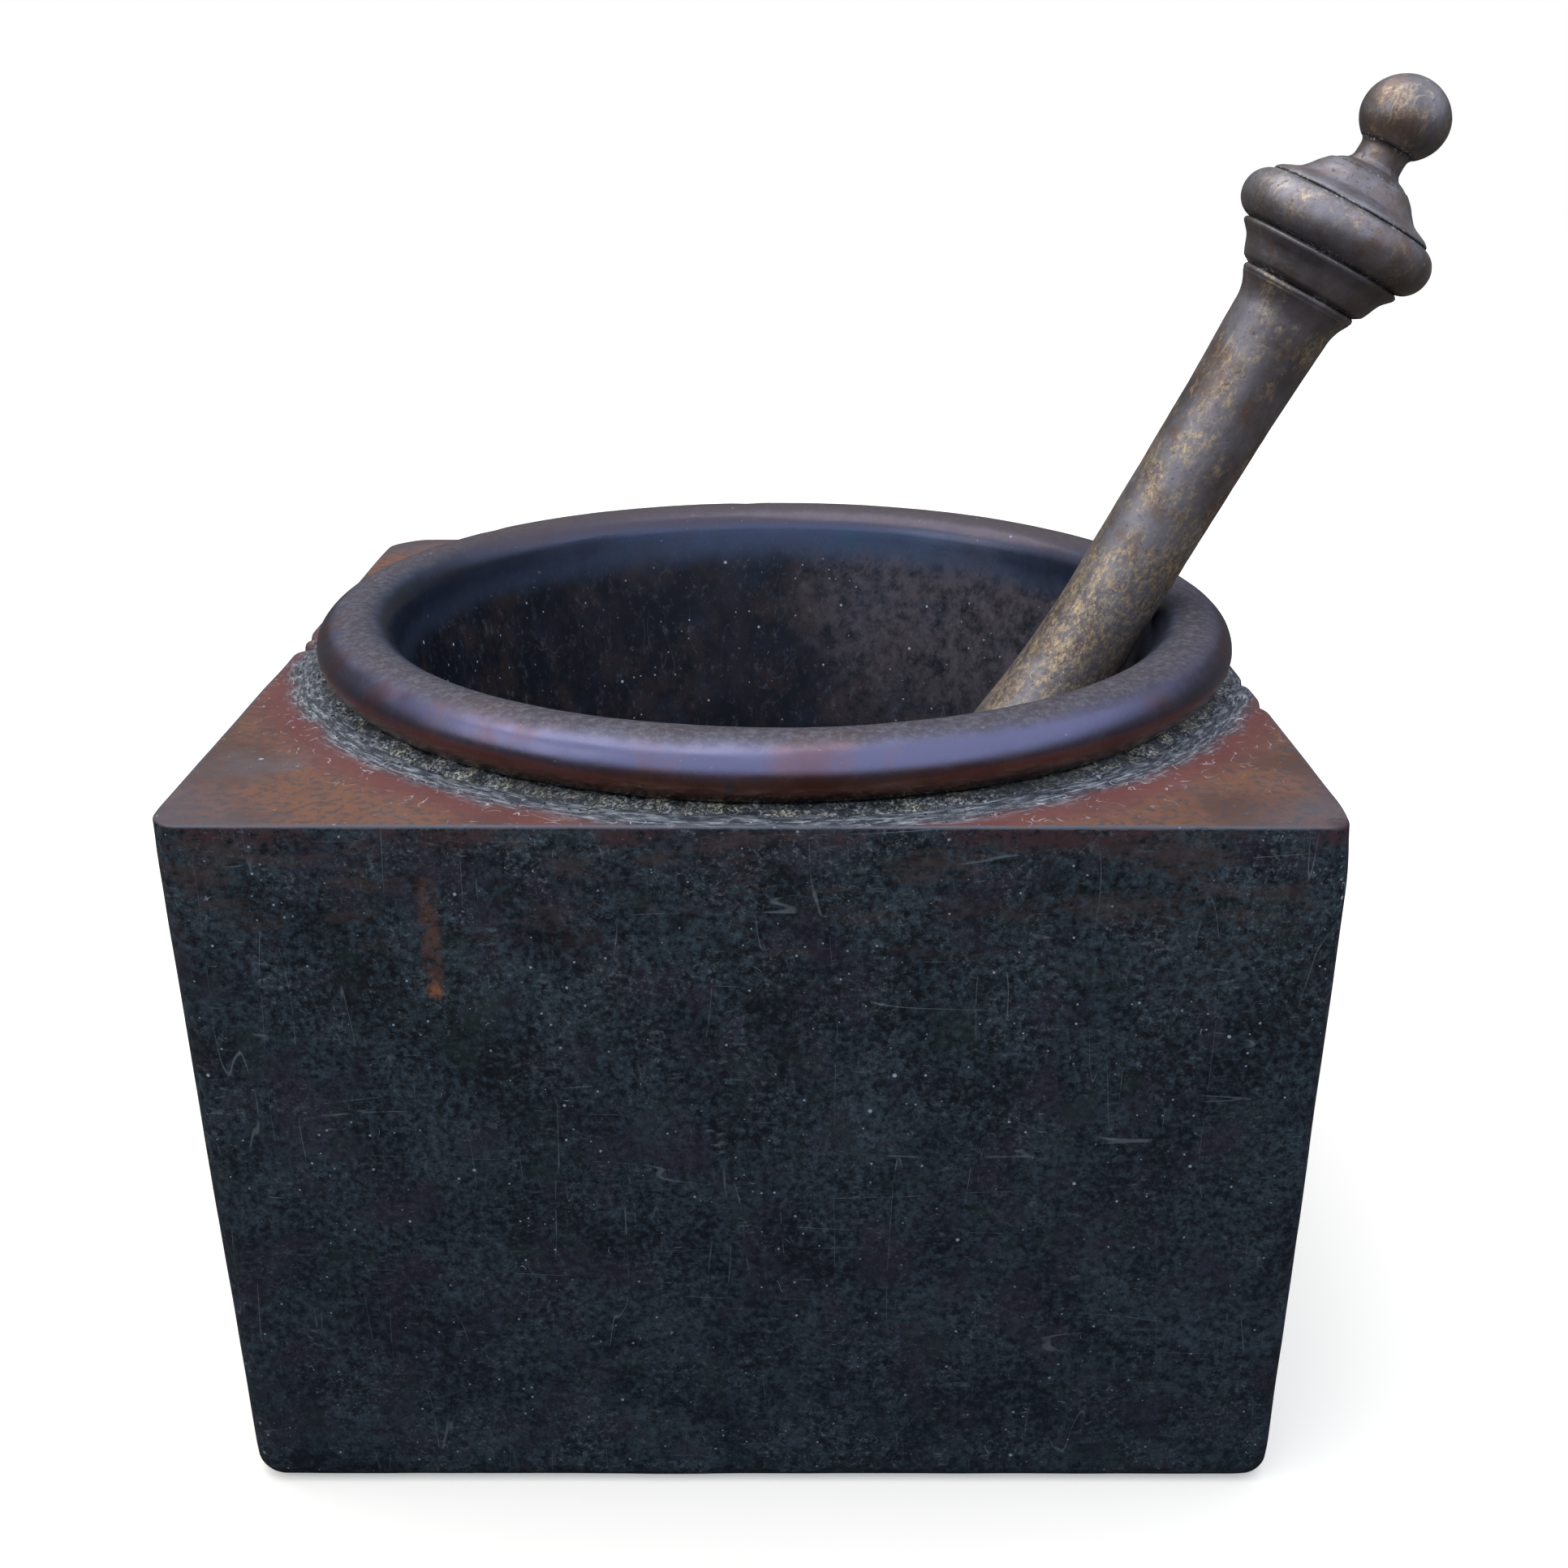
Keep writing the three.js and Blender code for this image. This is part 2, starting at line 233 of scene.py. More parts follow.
class Shader:
    """A material, with short names for the nodes it is made of. Lengths are in millimetres."""

    def __init__(self, name):
        self.material = bpy.data.materials.new(name)
        self.material.use_nodes = True
        self.tree = self.material.node_tree
        self.principled = self.tree.nodes["Principled BSDF"]
        metres = self.node("ShaderNodeTexCoord").outputs["Object"]
        scaled = self.node("ShaderNodeVectorMath", "SCALE", {0: metres, "Scale": 1 / MM})
        self.point = scaled.outputs[0]
        split = self.node("ShaderNodeSeparateXYZ", inputs={0: self.point})
        self.x, self.y, self.z = split.outputs

    def node(self, kind, operation=None, inputs=None, **settings):
        """A new node with its operation, its inputs (values or links) and its settings."""
        made = self.tree.nodes.new(kind)
        if operation:
            made.operation = operation
        for key, value in settings.items():
            setattr(made, key, value)
        for key, value in (inputs or {}).items():
            self.put(made.inputs[key], value)
        return made

    def put(self, socket, value):
        if isinstance(value, bpy.types.NodeSocket):
            self.tree.links.new(value, socket)
        else:
            socket.default_value = value

    def math(self, operation, a, b=0.0):
        return self.node("ShaderNodeMath", operation, {0: a, 1: b}).outputs[0]

    def step(self, value, low, high):
        """0 below low, 1 above high, smooth between. Swap them to turn it over."""
        return self.node("ShaderNodeMapRange", inputs={
            "Value": value, "From Min": low, "From Max": high, "To Min": 0.0, "To Max": 1.0,
        }, interpolation_type="SMOOTHSTEP").outputs[0]

    def place(self, size, stretch, shift, turn=(0, 0, 0)):
        """The shading point in units of size, stretched, shifted and turned, to place a texture."""
        return self.node("ShaderNodeMapping", inputs={
            "Vector": self.point,
            "Location": (shift, shift, shift),
            "Rotation": turn,
            "Scale": tuple(share / size for share in stretch),
        }).outputs[0]

    def noise(self, size, detail=4.0, roughness=0.55, stretch=(1, 1, 1), shift=0.0):
        """Cloudy noise whose largest features are about that size."""
        where = self.place(size, stretch, shift)
        return self.node("ShaderNodeTexNoise", inputs={
            "Vector": where, "Scale": 1.0, "Detail": detail, "Roughness": roughness,
        }).outputs["Fac"]

    def rings(self, radius, along, across, detail=5.0, roughness=0.65):
        """Noise drawn out along circles about the Z axis."""
        where = self.node("ShaderNodeCombineXYZ", inputs={
            0: self.math("DIVIDE", self.x, along),
            1: self.math("DIVIDE", self.y, along),
            2: self.math("DIVIDE", radius, across),
        }).outputs[0]
        return self.node("ShaderNodeTexNoise", inputs={
            "Vector": where, "Scale": 1.0, "Detail": detail, "Roughness": roughness,
        }).outputs["Fac"]

    def specks(self, size, radius, power=2.0, stretch=(1, 1, 1), shift=0.0):
        """Scattered spots of mixed sizes: most are small, the largest reach that radius in cell widths."""
        where = self.place(size, stretch, shift)
        spots = self.node("ShaderNodeTexVoronoi", inputs={"Vector": where, "Scale": 1.0})
        pick = self.node("ShaderNodeSeparateXYZ", inputs={0: spots.outputs["Color"]}).outputs[0]
        reach = self.math("MULTIPLY", self.math("POWER", pick, power), radius)
        over = self.math("DIVIDE", self.math("SUBTRACT", reach, spots.outputs["Distance"]), 0.3 * radius)
        return self.math("MINIMUM", self.math("MAXIMUM", over, 0.0), 1.0)

    def hairs(self, size, width, stretch=(1, 1, 1), shift=0.0, turn=(0, 0, 0)):
        """Thin wandering lines, where a smooth noise crosses its middle value."""
        where = self.place(size, stretch, shift, turn)
        field = self.node("ShaderNodeTexNoise", inputs={
            "Vector": where, "Scale": 1.0, "Detail": 1.5, "Roughness": 0.5,
        }).outputs["Fac"]
        off = self.math("ABSOLUTE", self.math("SUBTRACT", field, 0.5))
        return self.step(off, width, 0.35 * width)

    def plus(self, a, b):
        return self.math("ADD", a, b)

    def minus(self, a, b):
        return self.math("SUBTRACT", a, b)

    def larger(self, a, b):
        return self.math("MAXIMUM", a, b)

    def times(self, *factors):
        """The product of all factors."""
        product = factors[0]
        for factor in factors[1:]:
            product = self.math("MULTIPLY", product, factor)
        return product

    def wobble(self, value, size, reach, shift=0.0):
        """The value, moved up and down by noise, so that a band has a ragged edge."""
        ripple = self.math("SUBTRACT", self.noise(size, 5, 0.65, shift=shift), 0.5)
        return self.math("ADD", value, self.math("MULTIPLY", ripple, 2 * reach))

    def mix(self, a, b, factor):
        """Colour a where the factor is 0, colour b where it is 1."""
        inputs = {0: factor, 6: colour(a), 7: colour(b)}
        return self.node("ShaderNodeMix", inputs=inputs, data_type="RGBA").outputs[2]

    def blend(self, a, b, factor):
        """Value a where the factor is 0, value b where it is 1."""
        return self.node("ShaderNodeMix", inputs={0: factor, 2: a, 3: b}).outputs[0]

    def distance(self, centre, stretch=(1, 1, 1)):
        """Distance from a point, in millimetres, with each axis weighted."""
        arm = self.node("ShaderNodeVectorMath", "SUBTRACT", {0: self.point, 1: tuple(centre)}).outputs[0]
        arm = self.node("ShaderNodeVectorMath", "MULTIPLY", {0: arm, 1: tuple(stretch)}).outputs[0]
        return self.node("ShaderNodeVectorMath", "LENGTH", {0: arm}).outputs["Value"]

    def bump(self, height, depth):
        """Bump of that depth in millimetres."""
        inputs = {"Height": height, "Distance": depth * MM, "Strength": 1.0}
        return self.node("ShaderNodeBump", inputs=inputs).outputs[0]

    def finish(self, base, roughness, metallic, normal, specular=0.5):
        """Link everything to the shader and return the material."""
        self.put(self.principled.inputs["Base Color"], base)
        self.put(self.principled.inputs["Roughness"], roughness)
        self.put(self.principled.inputs["Metallic"], metallic)
        self.put(self.principled.inputs["Normal"], normal)
        self.principled.inputs["Specular IOR Level"].default_value = specular
        return self.material


def colour(value):
    """A colour as a socket takes it: a link as it is, an RGB triple with its alpha."""
    return value if isinstance(value, bpy.types.NodeSocket) else (*value, 1.0)


# ---- materials ----

# Block, sides
SKIN_DARK = (0.0016, 0.0036, 0.0050)
SKIN_PALE = (0.044, 0.066, 0.074)
SKIN_MAROON = (0.026, 0.018, 0.028)
SKIN_GREEN = (0.017, 0.032, 0.024)
SKIN_DUST = (0.235, 0.262, 0.250)
SKIN_WORN = (0.002, 0.003, 0.005)
SKIN_MARKS = (0.46, 0.49, 0.48)
SKIN_SCUFFS = (0.170, 0.185, 0.175)
SKIN_RUSTY = (0.062, 0.040, 0.032)
SKIN_STAIN = (0.052, 0.018, 0.016)
SKIN_FOOT_SHADE = (0.008, 0.012, 0.018)
RUST_RUN = (0.120, 0.052, 0.030)
RUST_DROP = (0.270, 0.105, 0.040)
# Where the rust run is on the front, as a share of the half width
RUN_PLACE = -0.541
# How far below the top its drop hangs, in mm
DROP_DEPTH = 38.5


def block_skin(s):
    """The blue-black casting skin of the sides: fine mottling, dust, lint, scratches, a rust run, and
    painted shade that darkens it towards the foot.
    """
    top = BLOCK_TOP / MM
    grain = s.noise(1.9, 8, 0.78)
    cloud = s.noise(17, 5, 0.6, shift=3)
    tone = s.plus(s.times(grain, 0.80), s.times(cloud, 0.28))
    skin = s.mix(SKIN_DARK, SKIN_PALE, s.step(tone, 0.45, 0.70))
    maroon = s.step(s.noise(15, 5, 0.65, shift=31), 0.50, 0.66)
    skin = s.mix(skin, SKIN_MAROON, s.times(maroon, 0.55))
    green = s.step(s.noise(13, 5, 0.65, shift=37), 0.54, 0.68)
    skin = s.mix(skin, SKIN_GREEN, s.times(green, 0.5))
    skin = block_dust(s, skin)
    skin, marks = block_marks(s, skin)
    rusty = s.step(s.noise(8, 7, 0.72, stretch=(0.4, 1, 1.5), shift=81), 0.50, 0.62)
    skin = s.mix(skin, SKIN_RUSTY, s.times(rusty, s.step(s.z, top - 45, top - 4), 0.60))
    skin = rust_run(s, skin, grain)
    # Dark red-brown stains hang just under the top edge
    hanging = s.step(s.wobble(s.z, 9, 3, shift=71), top - 6.5, top - 2.5)
    stain = s.times(hanging, s.step(s.noise(24, 4, 0.6, shift=73), 0.44, 0.6))
    skin = s.mix(skin, SKIN_STAIN, s.times(stain, s.step(grain, 0.40, 0.56), 0.85))
    # Painted shade: the sides darken towards the foot
    foot = s.step(s.z, top * 0.9, 0.0)
    skin = s.mix(skin, SKIN_FOOT_SHADE, s.times(foot, 0.38))
    return skin, grain, marks


def block_dust(s, skin):
    """Dust on the sides, thicker near the top and the foot than half way up, and bare dark spots in it."""
    top = BLOCK_TOP / MM
    high = s.step(s.wobble(s.z, 30, 22, shift=43), top * 0.50, top)
    low = s.step(s.wobble(s.z, 30, 22, shift=45), top * 0.40, 0.0)
    thick = s.plus(s.times(s.larger(high, low), 0.50), 0.30)
    fine = s.step(s.noise(1.4, 8, 0.85, shift=47), 0.50, 0.68)
    drifts = s.step(s.noise(16, 5, 0.65, shift=53), 0.40, 0.62)
    skin = s.mix(skin, SKIN_DUST, s.times(fine, drifts, thick))
    bare = s.step(s.noise(1.2, 7, 0.8, shift=49), 0.53, 0.62)
    return s.mix(skin, SKIN_WORN, s.times(bare, 0.55))


def block_marks(s, skin):
    """Pale flecks, curls of lint, scores and scuffed patches on the sides."""
    small_flecks = s.times(s.specks(1.9, 0.20, 4.5, shift=9), 0.85)
    flecks = s.larger(s.specks(5.2, 0.11, 3.0, shift=5), small_flecks)
    lint = s.times(s.hairs(8, 0.0032, shift=11), s.step(s.noise(4.5, 3, 0.6, shift=13), 0.63, 0.67))
    scores = s.times(
        s.hairs(11, 0.004, stretch=(1, 1, 0.11), shift=17, turn=(0, 0.12, 0)),
        s.step(s.noise(15, 3, 0.6, shift=19), 0.52, 0.60),
    )
    slants = s.times(
        s.hairs(13, 0.004, stretch=(0.08, 1, 1), shift=83, turn=(0, 0.55, 0)),
        s.step(s.noise(17, 3, 0.6, shift=79), 0.54, 0.61),
    )
    scuffs = s.times(
        s.step(s.noise(2.6, 7, 0.8, stretch=(0.5, 0.5, 1.5), shift=21), 0.55, 0.63),
        s.step(s.noise(14, 4, 0.6, shift=23), 0.52, 0.64),
    )
    lines = s.larger(s.times(lint, 0.75), s.times(s.larger(scores, slants), 0.22))
    marks = s.larger(flecks, lines)
    skin = s.mix(skin, SKIN_MARKS, s.times(marks, 0.75))
    skin = s.mix(skin, SKIN_SCUFFS, s.times(scuffs, 0.50))
    return skin, marks


def rust_run(s, skin, grain):
    """A run of rust down the front, ending in a drop."""
    half, top = BLOCK_HALF / MM, BLOCK_TOP / MM
    front = s.step(s.y, -0.90 * half, -0.95 * half)
    run_x = s.math("ABSOLUTE", s.plus(s.wobble(s.x, 24, 1.8, shift=59), -RUN_PLACE * half))
    run = s.times(s.step(run_x, 3.2, 0.4), s.step(s.z, top - 41, top - 33), s.step(s.z, top - 4, top - 24))
    run = s.times(run, s.step(s.noise(2.4, 5, 0.7, shift=61), 0.34, 0.60), front)
    skin = s.mix(skin, RUST_RUN, s.times(run, 0.75))
    drop = s.distance((RUN_PLACE * half, -half, top - DROP_DEPTH), (1, 0.2, 0.8))
    drop = s.times(s.step(s.wobble(drop, 2.2, 1.6, shift=67), 2.4, 0.6), front)
    return s.mix(skin, RUST_DROP, s.times(drop, s.step(grain, 0.34, 0.56), 0.9))


# Block, top face
TOP_BROWN = (0.092, 0.044, 0.028)
TOP_ORANGE = (0.155, 0.066, 0.033)
TOP_GRIT = (0.070, 0.046, 0.038)
TOP_GREY = (0.105, 0.105, 0.105)
TOP_MAROON = (0.125, 0.036, 0.030)
TOP_WORN = (0.066, 0.074, 0.084)
TOP_CHIPS = (0.42, 0.43, 0.43)
SMEAR_DARK = (0.034, 0.044, 0.052)
SMEAR_PALE = (0.35, 0.38, 0.36)
SMEAR_STRANDS = (0.50, 0.51, 0.48)


def block_top(s):
    """The worn top: red-brown, grey-blue at corners, edges and nicks, maroon and smeared round the bowl."""
    half = BLOCK_HALF / MM
    tone = s.noise(26, 4, 0.6, shift=101)
    grit = s.noise(2.4, 7, 0.72, shift=103)
    brown = s.mix(TOP_BROWN, TOP_ORANGE, s.step(tone, 0.38, 0.64))
    brown = s.mix(brown, TOP_GRIT, s.times(s.step(grit, 0.49, 0.57), 0.85))
    grey = s.step(s.noise(33, 4, 0.6, shift=107), 0.54, 0.70)
    brown = s.mix(brown, TOP_GREY, s.times(grey, 0.40))
    radius = s.distance((BOWL_CENTRE.x / MM, BOWL_CENTRE.y / MM, 0), (1, 1, 0))
    maroon = s.step(s.wobble(radius, 11, 6, shift=109), 143.0, 130.0)
    brown = s.mix(brown, TOP_MAROON, s.times(maroon, 0.85))
    # Bedding smeared outwards, drawn out along the rim, with loose strands over it
    smear = s.mix(SMEAR_DARK, SMEAR_PALE, s.step(s.rings(radius, 5, 0.9, 8, 0.80), 0.46, 0.64))
    smeared = s.step(s.wobble(radius, 14, 5, shift=127), 131.5, 125.5)
    brown = s.mix(brown, smear, s.times(smeared, 0.92))
    strands = s.times(s.hairs(5.0, 0.012, shift=131), s.step(s.noise(5, 4, 0.6, shift=137), 0.50, 0.60))
    strands = s.times(strands, s.step(radius, 150.0, 126.0))
    brown = s.mix(brown, SMEAR_STRANDS, s.times(strands, 0.75))
    # Worn to grey-blue at corners, edges and nicks
    sum_xy = s.plus(s.math("ABSOLUTE", s.x), s.math("ABSOLUTE", s.y))
    corner = s.times(s.step(s.wobble(sum_xy, 19, 16, shift=139), 2 * half - 42, 2 * half - 12), 0.6)
    outside = s.larger(s.math("ABSOLUTE", s.x), s.math("ABSOLUTE", s.y))
    edge = s.step(s.wobble(outside, 5, 0.8, shift=149), half - 1.3, half - 0.4)
    nicks = s.times(
        s.specks(11, 0.26, 2.0, stretch=(0.7, 1.3, 1), shift=151),
        s.step(s.noise(1.9, 5, 0.7, shift=157), 0.45, 0.54),
    )
    worn = s.larger(s.larger(corner, edge), nicks)
    brown = s.mix(brown, TOP_WORN, s.times(worn, 0.85))
    small_chips = s.times(s.specks(2.4, 0.16, 2.5, shift=167), 0.5)
    chips = s.larger(s.specks(8, 0.10, 3.0, shift=163), small_chips)
    brown = s.mix(brown, TOP_CHIPS, s.times(chips, 0.7))
    return brown, tone, nicks


def block_material():
    """One casting in two finishes: its sides keep the blue-black skin, its top is worn reddish brown."""
    s = Shader("block_iron")
    top = BLOCK_TOP / MM
    skin, grain, marks = block_skin(s)
    brown, tone, nicks = block_top(s)
    is_top = s.step(s.wobble(s.z, 4, 0.35, shift=97), top - 0.75, top - 0.30)
    base = s.mix(skin, brown, is_top)
    rough_side = s.blend(0.46, 0.70, s.step(grain, 0.40, 0.62))
    rough_top = s.blend(0.38, 0.58, s.step(tone, 0.35, 0.65))
    roughness = s.blend(rough_side, rough_top, is_top)
    pits = s.specks(7.5, 0.13, 3.0, shift=111)
    height = s.plus(s.times(grain, 0.8), s.times(marks, 0.25))
    hollows = s.plus(s.times(pits, 1.2), s.times(nicks, 1.0))
    height = s.minus(height, hollows)
    return s.finish(base, roughness, 0.0, s.bump(height, 0.16), specular=0.30)


# Bowl, rim
RIM_BROWN = (0.160, 0.064, 0.041)
RIM_COPPER = (0.205, 0.100, 0.072)
RIM_BLOOM_AND_SHEEN = (0.108, 0.110, 0.168)
RIM_INNER_SHEEN = (0.042, 0.068, 0.108)
RIM_UNDER_SHADE = (0.020, 0.012, 0.010)
RIM_BACK_SHADE = (0.066, 0.047, 0.045)
RIM_SPOTS = (0.045, 0.080, 0.105)
RIM_DUST = (0.38, 0.37, 0.34)
CROWN_DARK = (0.048, 0.036, 0.032)
CROWN_PALE = (0.110, 0.106, 0.100)


def bowl_rim(s, bead_z, grit, crown, dust):
    """The bead: brown, with painted shade below; a violet-blue bloom above that is partly patina and partly
    painted sky reflection; a painted blue sheen on its inner face; dust on top; painted shade on its top at
    the back.
    """
    tone = s.noise(19, 5, 0.6)
    rim = s.mix(RIM_BROWN, RIM_COPPER, s.step(tone, 0.34, 0.66))
    # Partly patina, partly painted reflection: the upper half of the bead is tinted violet-blue, like the
    # sky it reflects
    bloom_and_sheen = s.step(s.wobble(s.z, 17, 1.6, shift=11), bead_z - 1.5, bead_z + 2.5)
    radius = s.distance((0, 0, 0), (1, 1, 0))
    inward = s.step(radius, BEAD_RADIUS / MM + 0.5, BEAD_RADIUS / MM - 3.5)
    patches = s.step(s.noise(23, 7, 0.66, shift=9), 0.48, 0.66)
    bloom_and_sheen = s.times(s.larger(bloom_and_sheen, inward), s.blend(0.95, 0.50, patches))
    rim = s.mix(rim, RIM_BLOOM_AND_SHEEN, bloom_and_sheen)
    # Painted sheen: the inner face of the bead is tinted blue, like the sky it reflects
    rim = s.mix(rim, RIM_INNER_SHEEN, s.times(inward, 0.80))
    # Painted shade: the underside of the bead is darkened on its outer side
    under = s.step(s.wobble(s.z, 9, 1.5, shift=15), bead_z - 2.5, bead_z - 5.5)
    under = s.times(under, s.minus(1.0, inward))
    rim = s.mix(rim, RIM_UNDER_SHADE, s.times(under, 0.75))
    rim = s.mix(rim, s.mix(CROWN_DARK, CROWN_PALE, s.step(grit, 0.42, 0.66)), s.times(crown, 0.85))
    # Painted shade: the top of the bead is darker, dull brown, at the back
    dull = s.times(s.step(s.wobble(s.y, 30, 20, shift=17), 10, 70), s.step(s.z, bead_z + 0.5, bead_z + 5.0))
    rim = s.mix(rim, RIM_BACK_SHADE, s.times(dull, 0.75))
    rim = s.mix(rim, RIM_SPOTS, s.times(s.specks(26, 0.16, 1.5, shift=19), 0.75))
    return s.mix(rim, RIM_DUST, s.times(dust, 0.55))


# Bowl, inside
HOLLOW_BLACK = (0.0008, 0.0024, 0.0055)
HOLLOW_GREY = (0.015, 0.013, 0.016)
HOLLOW_BLUE = (0.006, 0.014, 0.028)
HOLLOW_RED = (0.030, 0.018, 0.015)
HOLLOW_PALE = (0.085, 0.070, 0.072)
HOLLOW_DUST = (0.110, 0.122, 0.138)
HOLLOW_DRIPS = (0.10, 0.105, 0.115)
HOLLOW_BITS = (0.52, 0.53, 0.52)


def bowl_hollow(s, bead_z):
    """The inside: blue-black with red-brown blotches, a pale patch, dried drips and bright bits."""
    stain = s.step(s.noise(23, 6, 0.62, stretch=(1, 1, 0.45), shift=33), 0.44, 0.68)
    hollow = s.mix(HOLLOW_BLACK, HOLLOW_GREY, stain)
    blue = s.step(s.noise(17, 5, 0.6, shift=39), 0.52, 0.68)
    hollow = s.mix(hollow, HOLLOW_BLUE, s.times(blue, 0.6))
    red = s.step(s.noise(19, 8, 0.72, shift=41), 0.48, 0.64)
    hollow = s.mix(hollow, HOLLOW_RED, s.times(red, 0.60))
    patch = s.times(s.step(s.wobble(s.x, 26, 30, shift=63), -4, 34), s.step(s.z, bead_z - 80, bead_z - 30))
    patch = s.times(patch, s.step(s.noise(5, 9, 0.78, shift=65), 0.36, 0.62), 0.75)
    hollow = s.mix(hollow, HOLLOW_PALE, patch)
    dust = s.step(s.noise(2.4, 9, 0.8, shift=45, stretch=(1, 1, 0.6)), 0.53, 0.66)
    hollow = s.mix(hollow, HOLLOW_DUST, s.times(dust, 0.34))
    drips = s.times(
        s.hairs(9, 0.006, stretch=(1, 1, 0.12), shift=49),
        s.step(s.noise(16, 4, 0.6, shift=51), 0.5, 0.6),
    )
    hollow = s.mix(hollow, HOLLOW_DRIPS, s.times(drips, 0.25))
    small_bits = s.times(s.specks(2.2, 0.17, 3.0, shift=57), 0.8)
    bits = s.larger(s.specks(5.5, 0.12, 2.5, shift=55), small_bits)
    return s.mix(hollow, HOLLOW_BITS, s.times(bits, 0.75))


def bowl_material():
    """Dark bronze: a smooth brown-violet rim, a dull blue-black and brown inside."""
    s = Shader("bowl_bronze")
    bead_z = BEAD_Z / MM
    inner = (BEAD_RADIUS - 0.4 * BEAD_HALF_WIDTH) / MM
    radius = s.distance((0, 0, 0), (1, 1, 0))
    inside = s.step(s.wobble(s.z, 12, 3.0), bead_z - 0.5, bead_z - 12.0)
    inside = s.times(inside, s.step(radius, inner + 1.0, inner - 1.0))
    grit = s.noise(1.8, 7, 0.75, shift=5)
    # Dust on the flat of the bead and along its inner lip
    crown = s.step(s.wobble(s.z, 7, 1.0, shift=13), bead_z + 5.2, bead_z + 7.9)
    fine_dust = s.times(s.specks(1.6, 0.15, 2.0, shift=27), 0.4)
    dust = s.larger(s.specks(4.6, 0.12, 3.0, shift=23), fine_dust)
    base = s.mix(bowl_rim(s, bead_z, grit, crown, dust), bowl_hollow(s, bead_z), inside)
    rough_rim = s.blend(0.20, 0.31, s.step(s.noise(7, 6, 0.7, shift=61), 0.36, 0.66))
    rough_rim = s.plus(rough_rim, s.times(crown, 0.35))
    roughness = s.blend(rough_rim, 0.55, inside)
    metallic = s.times(s.blend(0.88, 0.0, inside), s.blend(1.0, 0.2, crown))
    height = s.plus(s.times(grit, s.blend(0.35, 1.0, inside)), s.times(dust, 0.2))
    return s.finish(base, roughness, metallic, s.bump(height, 0.08), specular=0.25)


# Bedding
PACKING_DARK = (0.050, 0.056, 0.058)
PACKING_PALE = (0.78, 0.78, 0.68)
PACKING_YELLOW = (0.68, 0.60, 0.34)
PACKING_CRACK_SHADE = (0.012, 0.013, 0.015)
PACKING_DIRT = (0.055, 0.058, 0.058)


def bedding_material():
    """Crumbly grey-green packing: yellowish where it stands up, with near-black patches painted as the shade
    in its cracks.
    """
    s = Shader("bedding")
    tone = s.noise(7, 5, 0.65)
    grain = s.noise(0.8, 7, 0.8, shift=3)
    base = s.mix(PACKING_DARK, PACKING_PALE, s.step(grain, 0.46, 0.66))
    yellow = s.times(s.step(tone, 0.46, 0.60), s.step(grain, 0.46, 0.58), 0.7)
    base = s.mix(base, PACKING_YELLOW, yellow)
    # Painted shade: near-black patches stand in for the shade in cracks
    crack_shade = s.step(s.noise(4.5, 6, 0.7, shift=13), 0.48, 0.58)
    base = s.mix(base, PACKING_CRACK_SHADE, s.times(crack_shade, 0.80))
    dirt = s.step(s.noise(13, 5, 0.7, shift=17), 0.44, 0.60)
    base = s.mix(base, PACKING_DIRT, s.times(dirt, 0.70))
    return s.finish(base, 0.92, 0.0, s.bump(grain, 0.35), specular=0.15)


# Pestle
PESTLE_BROWN = (0.145, 0.126, 0.118)
PESTLE_GREY = (0.262, 0.242, 0.238)
PESTLE_RUSSET = (0.175, 0.104, 0.060)
PESTLE_GOLD = (0.640, 0.470, 0.250)
PESTLE_PITS = (0.040, 0.028, 0.020)
PESTLE_SCORES = (0.55, 0.43, 0.26)
PESTLE_DIRT = (0.060, 0.056, 0.052)
PESTLE_CRUMBS = (0.62, 0.61, 0.56)
PESTLE_FLECKS = (0.60, 0.56, 0.46)


def groove_dirt(s, grooves):
    """Bands of dirt round the pestle, at each (station, half width) of grooves in metres."""
    dirt = 0.0
    for station, width in grooves:
        away = s.math("ABSOLUTE", s.minus(s.z, station / MM))
        dirt = s.larger(dirt, s.step(away, width / MM, 0.25 * width / MM))
    return dirt


